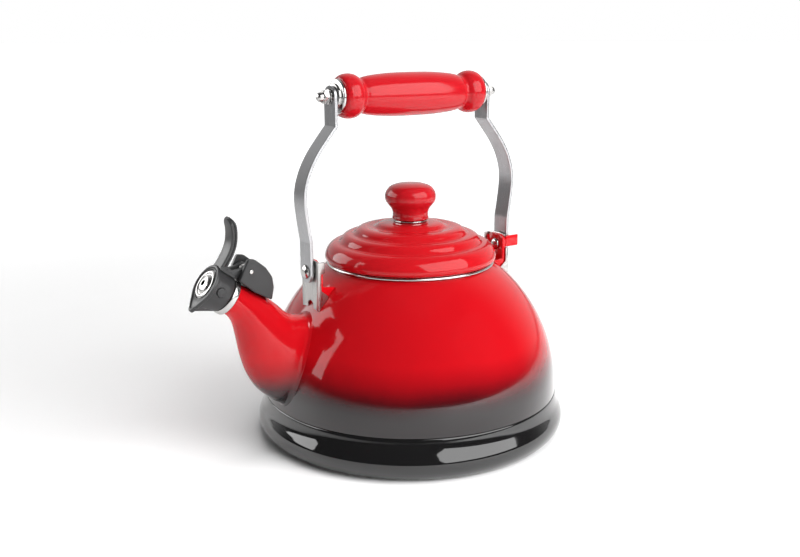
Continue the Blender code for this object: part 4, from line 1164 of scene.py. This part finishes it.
# Hinge spring -------------------------------------------------------------------------------
# A torsion spring of thin steel wire, wound round the pin between the lever's arms. It keeps
# the whistle shut.

wire_radius, coil_radius, coil_turns = 0.0004, 0.0026, 4
lever_half, arm = 0.0060, 0.0028
coil_half = lever_half - arm - 0.0003 - wire_radius
first_turn = math.radians(10) + tip_lean
wire_round, spring_steps = 10, coil_turns * 32
coil_route = []
for i in range(spring_steps + 1):
    turn = first_turn + 2 * math.pi * coil_turns * i / spring_steps
    spoke = Vector((coil_radius * math.cos(turn), 0, coil_radius * math.sin(turn)))
    coil_route.append(pin_centre + spoke + Vector((0, coil_half * (2 * i / spring_steps - 1), 0)))
wire_rings = []
for i, point in enumerate(coil_route):
    before, after = coil_route[max(i - 1, 0)], coil_route[min(i + 1, spring_steps)]
    along = (after - before).normalized()
    outward = (point - Vector((pin_centre.x, point.y, pin_centre.z))).normalized()
    third = along.cross(outward)
    turns = [2 * math.pi * k / wire_round for k in range(wire_round)]
    wire_rings.append(
        [point + wire_radius * (outward * math.cos(a) + third * math.sin(a)) for a in turns]
    )
spring = skinned("torsion_spring", wire_rings, closed_ends=True)
dress(spring, brushed_steel, "whistle", "brushed_steel", "hinge_spring")

# Whistle cap --------------------------------------------------------------------------------
# A black moulded cap: round behind, drawn out to a beak below in front, with a raised rim
# round its recess. Two thin steel discs in the recess make the whistle.

cap_bore, disc_radius = 0.0106, 0.0098
cap_radius, cap_rear_radius, beak_reach, beak_radius = 0.0130, 0.0123, 0.0192, 0.0032


def beaked_ring(radius, beak_out, beak, height, count=96):
    """One ring of the cap: a circle drawn out to a beak towards -X, evenly spaced by angle."""
    ring = []
    for i in range(count):
        turn = 2 * math.pi * i / count
        aim = Vector((math.cos(turn), math.sin(turn)))
        reach = radius
        if beak_out > radius:
            offset = beak_out - beak
            tangent = math.acos((radius - beak) / offset)
            from_beak = abs(math.pi - turn)
            if from_beak < tangent:
                side_normal = Vector((-math.cos(tangent), math.sin(tangent)))
                aim_up = Vector((-math.cos(from_beak), math.sin(from_beak)))
                reach = radius / aim_up.dot(side_normal)
                across_axis = offset * math.sin(from_beak)
                if across_axis < beak:
                    round_reach = offset * math.cos(from_beak) + math.sqrt(
                        beak**2 - across_axis**2
                    )
                    reach = min(reach, round_reach)
        ring.append(Vector((aim.x * reach, aim.y * reach, height)))
    return ring


cap_rings = []
for height, radius, beak_out in (
    (0.0026, cap_rear_radius - 0.0006, cap_rear_radius - 0.0004),
    (0.0028, cap_rear_radius - 0.0002, cap_rear_radius),
    (0.0033, cap_rear_radius, cap_rear_radius + 0.0002), (0.0060, cap_rear_radius + 0.0001, 0.0138),
    (0.0100, cap_rear_radius + 0.0002, 0.0158), (0.0134, cap_rear_radius + 0.0003, 0.0176),
    (0.0140, cap_rear_radius + 0.0003, 0.0180), (0.0142, cap_radius - 0.0001, beak_reach - 0.0004),
    (0.0145, cap_radius, beak_reach), (0.0158, cap_radius, beak_reach),
    (0.0163, cap_radius - 0.0002, beak_reach - 0.0003),
    (0.0165, cap_radius - 0.0006, beak_reach - 0.0008),
    (0.0165, cap_radius - 0.0013, beak_reach - 0.0016),
    (0.0163, cap_radius - 0.0016, beak_reach - 0.0020),
    (0.0159, cap_radius - 0.0018, beak_reach - 0.0023),
    (0.0157, cap_radius - 0.0021, beak_reach - 0.0027),
):
    cap_rings.append(beaked_ring(radius, max(beak_out, radius), beak_radius, height))
collar = [
    (disc_radius + 0.0011, 0.0158), (disc_radius + 0.0008, 0.0160), (disc_radius + 0.0004, 0.0160),
    (disc_radius + 0.0003, 0.0158), (disc_radius + 0.0003, 0.0150), (disc_radius - 0.0014, 0.0150),
    (disc_radius - 0.0014, 0.0143), (cap_bore, 0.0143), (cap_bore, 0.0030),
    (cap_bore + 0.0004, 0.0026),
]
for radius, height in collar:
    cap_rings.append(beaked_ring(radius, radius, beak_radius, height))
cap_rings.append([point.copy() for point in cap_rings[0]])
cap = skinned("whistle_cap_moulding", cap_rings)
bpy.ops.object.mode_set(mode="EDIT")
bpy.ops.mesh.select_all(action="SELECT")
bpy.ops.mesh.remove_doubles(threshold=0.000005)
bpy.ops.mesh.normals_make_consistent(inside=False)
bpy.ops.object.mode_set(mode="OBJECT")
plug_radius, plug_ahead, plug_gap = 0.0028, 0.0100, 0.0003
for side in (-1, 1):
    seat = round_bar("plug_seat", plug_radius + plug_gap, 0.006, (0, side * 0.0134, plug_ahead))
    apply_boolean(cap, seat)
bpy.ops.object.shade_smooth_by_angle(angle=smooth_below)
place_piece(cap, tip_frame)
dress(cap, black_plastic, "whistle", "black_plastic", "whistle_cap")

for end, side in (("left", -1), ("right", 1)):
    plug = round_bar(
        end + "_moulded_plug", plug_radius, 0.0025, (0, side * (cap_bore + 0.00155), plug_ahead)
    )
    ease_edges(plug, 0.0003, 2, 40)
    place_piece(plug, tip_frame)
    dress(plug, black_plastic, "whistle", "black_plastic", end + "_cap_plug")

# Whistle discs ------------------------------------------------------------------------------
# Two stampings of thin steel with a hole in the middle, set in the cap. The front one is bright
# and domed.

for name, node, material, slot_name, middle, rim_rise in (
    ("front_whistle_disc", "whistle_front_disc", bright_metal, "bright_metal", 0.0166, 0.0004),
    ("back_whistle_disc", "whistle_back_disc", brushed_steel, "brushed_steel", 0.0130, 0.0),
):
    disc_path = smooth_run(
        [(0.0019, middle + 3 * rim_rise), (0.0024, middle + 3.2 * rim_rise),
         (0.0040, middle + 2.6 * rim_rise), (0.0054, middle + 1.2 * rim_rise),
         (0.0064, middle - 0.0004), (0.0069, middle - 0.0005), (0.0076, middle),
         (0.0083, middle + 0.0001), (0.0090, middle - 0.0002), (0.0094, middle - 0.0005)],
        4,
    )
    disc_piece = place_piece(turned(name, sheet_outline(disc_path, 0.0004), 96), tip_frame)
    dress(disc_piece, material, "whistle", slot_name, node)


# Thumb lever --------------------------------------------------------------------------------
# A curved black blade with a stepped and rounded edge, its foot on the crown of the cap. Two
# arms with round ends reach back to the hinge pin, and small ribs stiffen them.

blade_half, arm_gap_half = 0.0060, 0.0032
blade_path = smooth_run(
    [(0.0122, 0.0134), (0.0156, 0.0133), (0.0188, 0.0134), (0.0238, 0.0138), (0.0292, 0.0152),
     (0.0342, 0.0178), (0.0386, 0.0214), (0.0413, 0.0256)],
    6,
)
blade_section = [
    (-0.0048, -0.0018), (-0.0052, -0.0017), (-0.0055, -0.0014), (-0.0056, -0.0002),
    (-0.0053, 0.0000), (-0.0053, 0.0003), (-0.0058, 0.0004), (-0.0060, 0.0007), (-0.0060, 0.0013),
    (-0.0057, 0.0017), (-0.0050, 0.0018),
]
blade_section += [(-across, deep) for across, deep in blade_section[::-1]]
run_so_far, runs = 0.0, [0.0]
for before, after in zip(blade_path, blade_path[1:]):
    run_so_far += math.dist(before, after)
    runs.append(run_so_far)
blade_rings = []
tip_round = 0.0052
for i, (above, ahead) in enumerate(blade_path):
    before, after = blade_path[max(i - 1, 0)], blade_path[min(i + 1, len(blade_path) - 1)]
    along = Vector((after[0] - before[0], 0, after[1] - before[1])).normalized()
    behind = Vector((along.z, 0, -along.x))
    to_tip = max(run_so_far - runs[i], 0.0)
    into_tip = max(0.0, 1 - to_tip / tip_round)
    narrow = max(0.42, math.sqrt(max(0.0, 1 - into_tip**2)))
    thin = 1 - 0.45 * into_tip**2
    blade_rings.append(
        [
            Vector((above, 0, ahead)) + Vector((0, across * narrow, 0)) + behind * deep * thin
            for across, deep in blade_section
        ]
    )
lever = skinned("thumb_lever", blade_rings, closed_ends=True)
arm_corners = [
    (0.0060, 0.0040, 0.0005), (0.0060, 0.0152, 0.0005), (0.0138, 0.0150, 0.0010),
    (0.0156, 0.0118, 0.0016), (0.0150, 0.0070, 0.0030), (0.0190, 0.0030, 0.0030),
    (0.0236, 0.0006, 0.0018), (0.0232, -0.0048, 0.0024), (0.0172, -0.0050, 0.0024),
    (0.0146, 0.0016, 0.0020),
]
for side in (-1, 1):
    arm_piece = drawn_plate("lever_arm", rounded_outline(arm_corners), blade_half - arm_gap_half)
    place_piece(arm_piece, Matrix.Translation((0, side * (blade_half + arm_gap_half) / 2, 0)))
    ease_edges(arm_piece, 0.0003, 2, 40)
    apply_boolean(lever, arm_piece, "UNION")
for above, ahead in ((0.0143, 0.0108), (0.0137, 0.0072)):
    rib = round_bar("lever_rib", 0.0007, 2 * blade_half + 0.0006, (above, 0, ahead), 24)
    ease_edges(rib, 0.0002, 2, 40)
    apply_boolean(lever, rib, "UNION")
seat_outline = [(0.0, 0.0300), (cap_radius + 0.0007, 0.0300), (0.0126, -0.0100), (0.0, -0.0100)]
apply_boolean(lever, turned("lever_seat", seat_outline, 96))
pin_hole = round_bar("lever_pin_hole", pin_radius + 0.0003, 0.03, (pin_above, 0, pin_ahead))
apply_boolean(lever, pin_hole)
bpy.ops.object.shade_smooth_by_angle(angle=smooth_below)
place_piece(lever, tip_frame)
dress(lever, black_plastic, "whistle", "black_plastic", "whistle_lever")
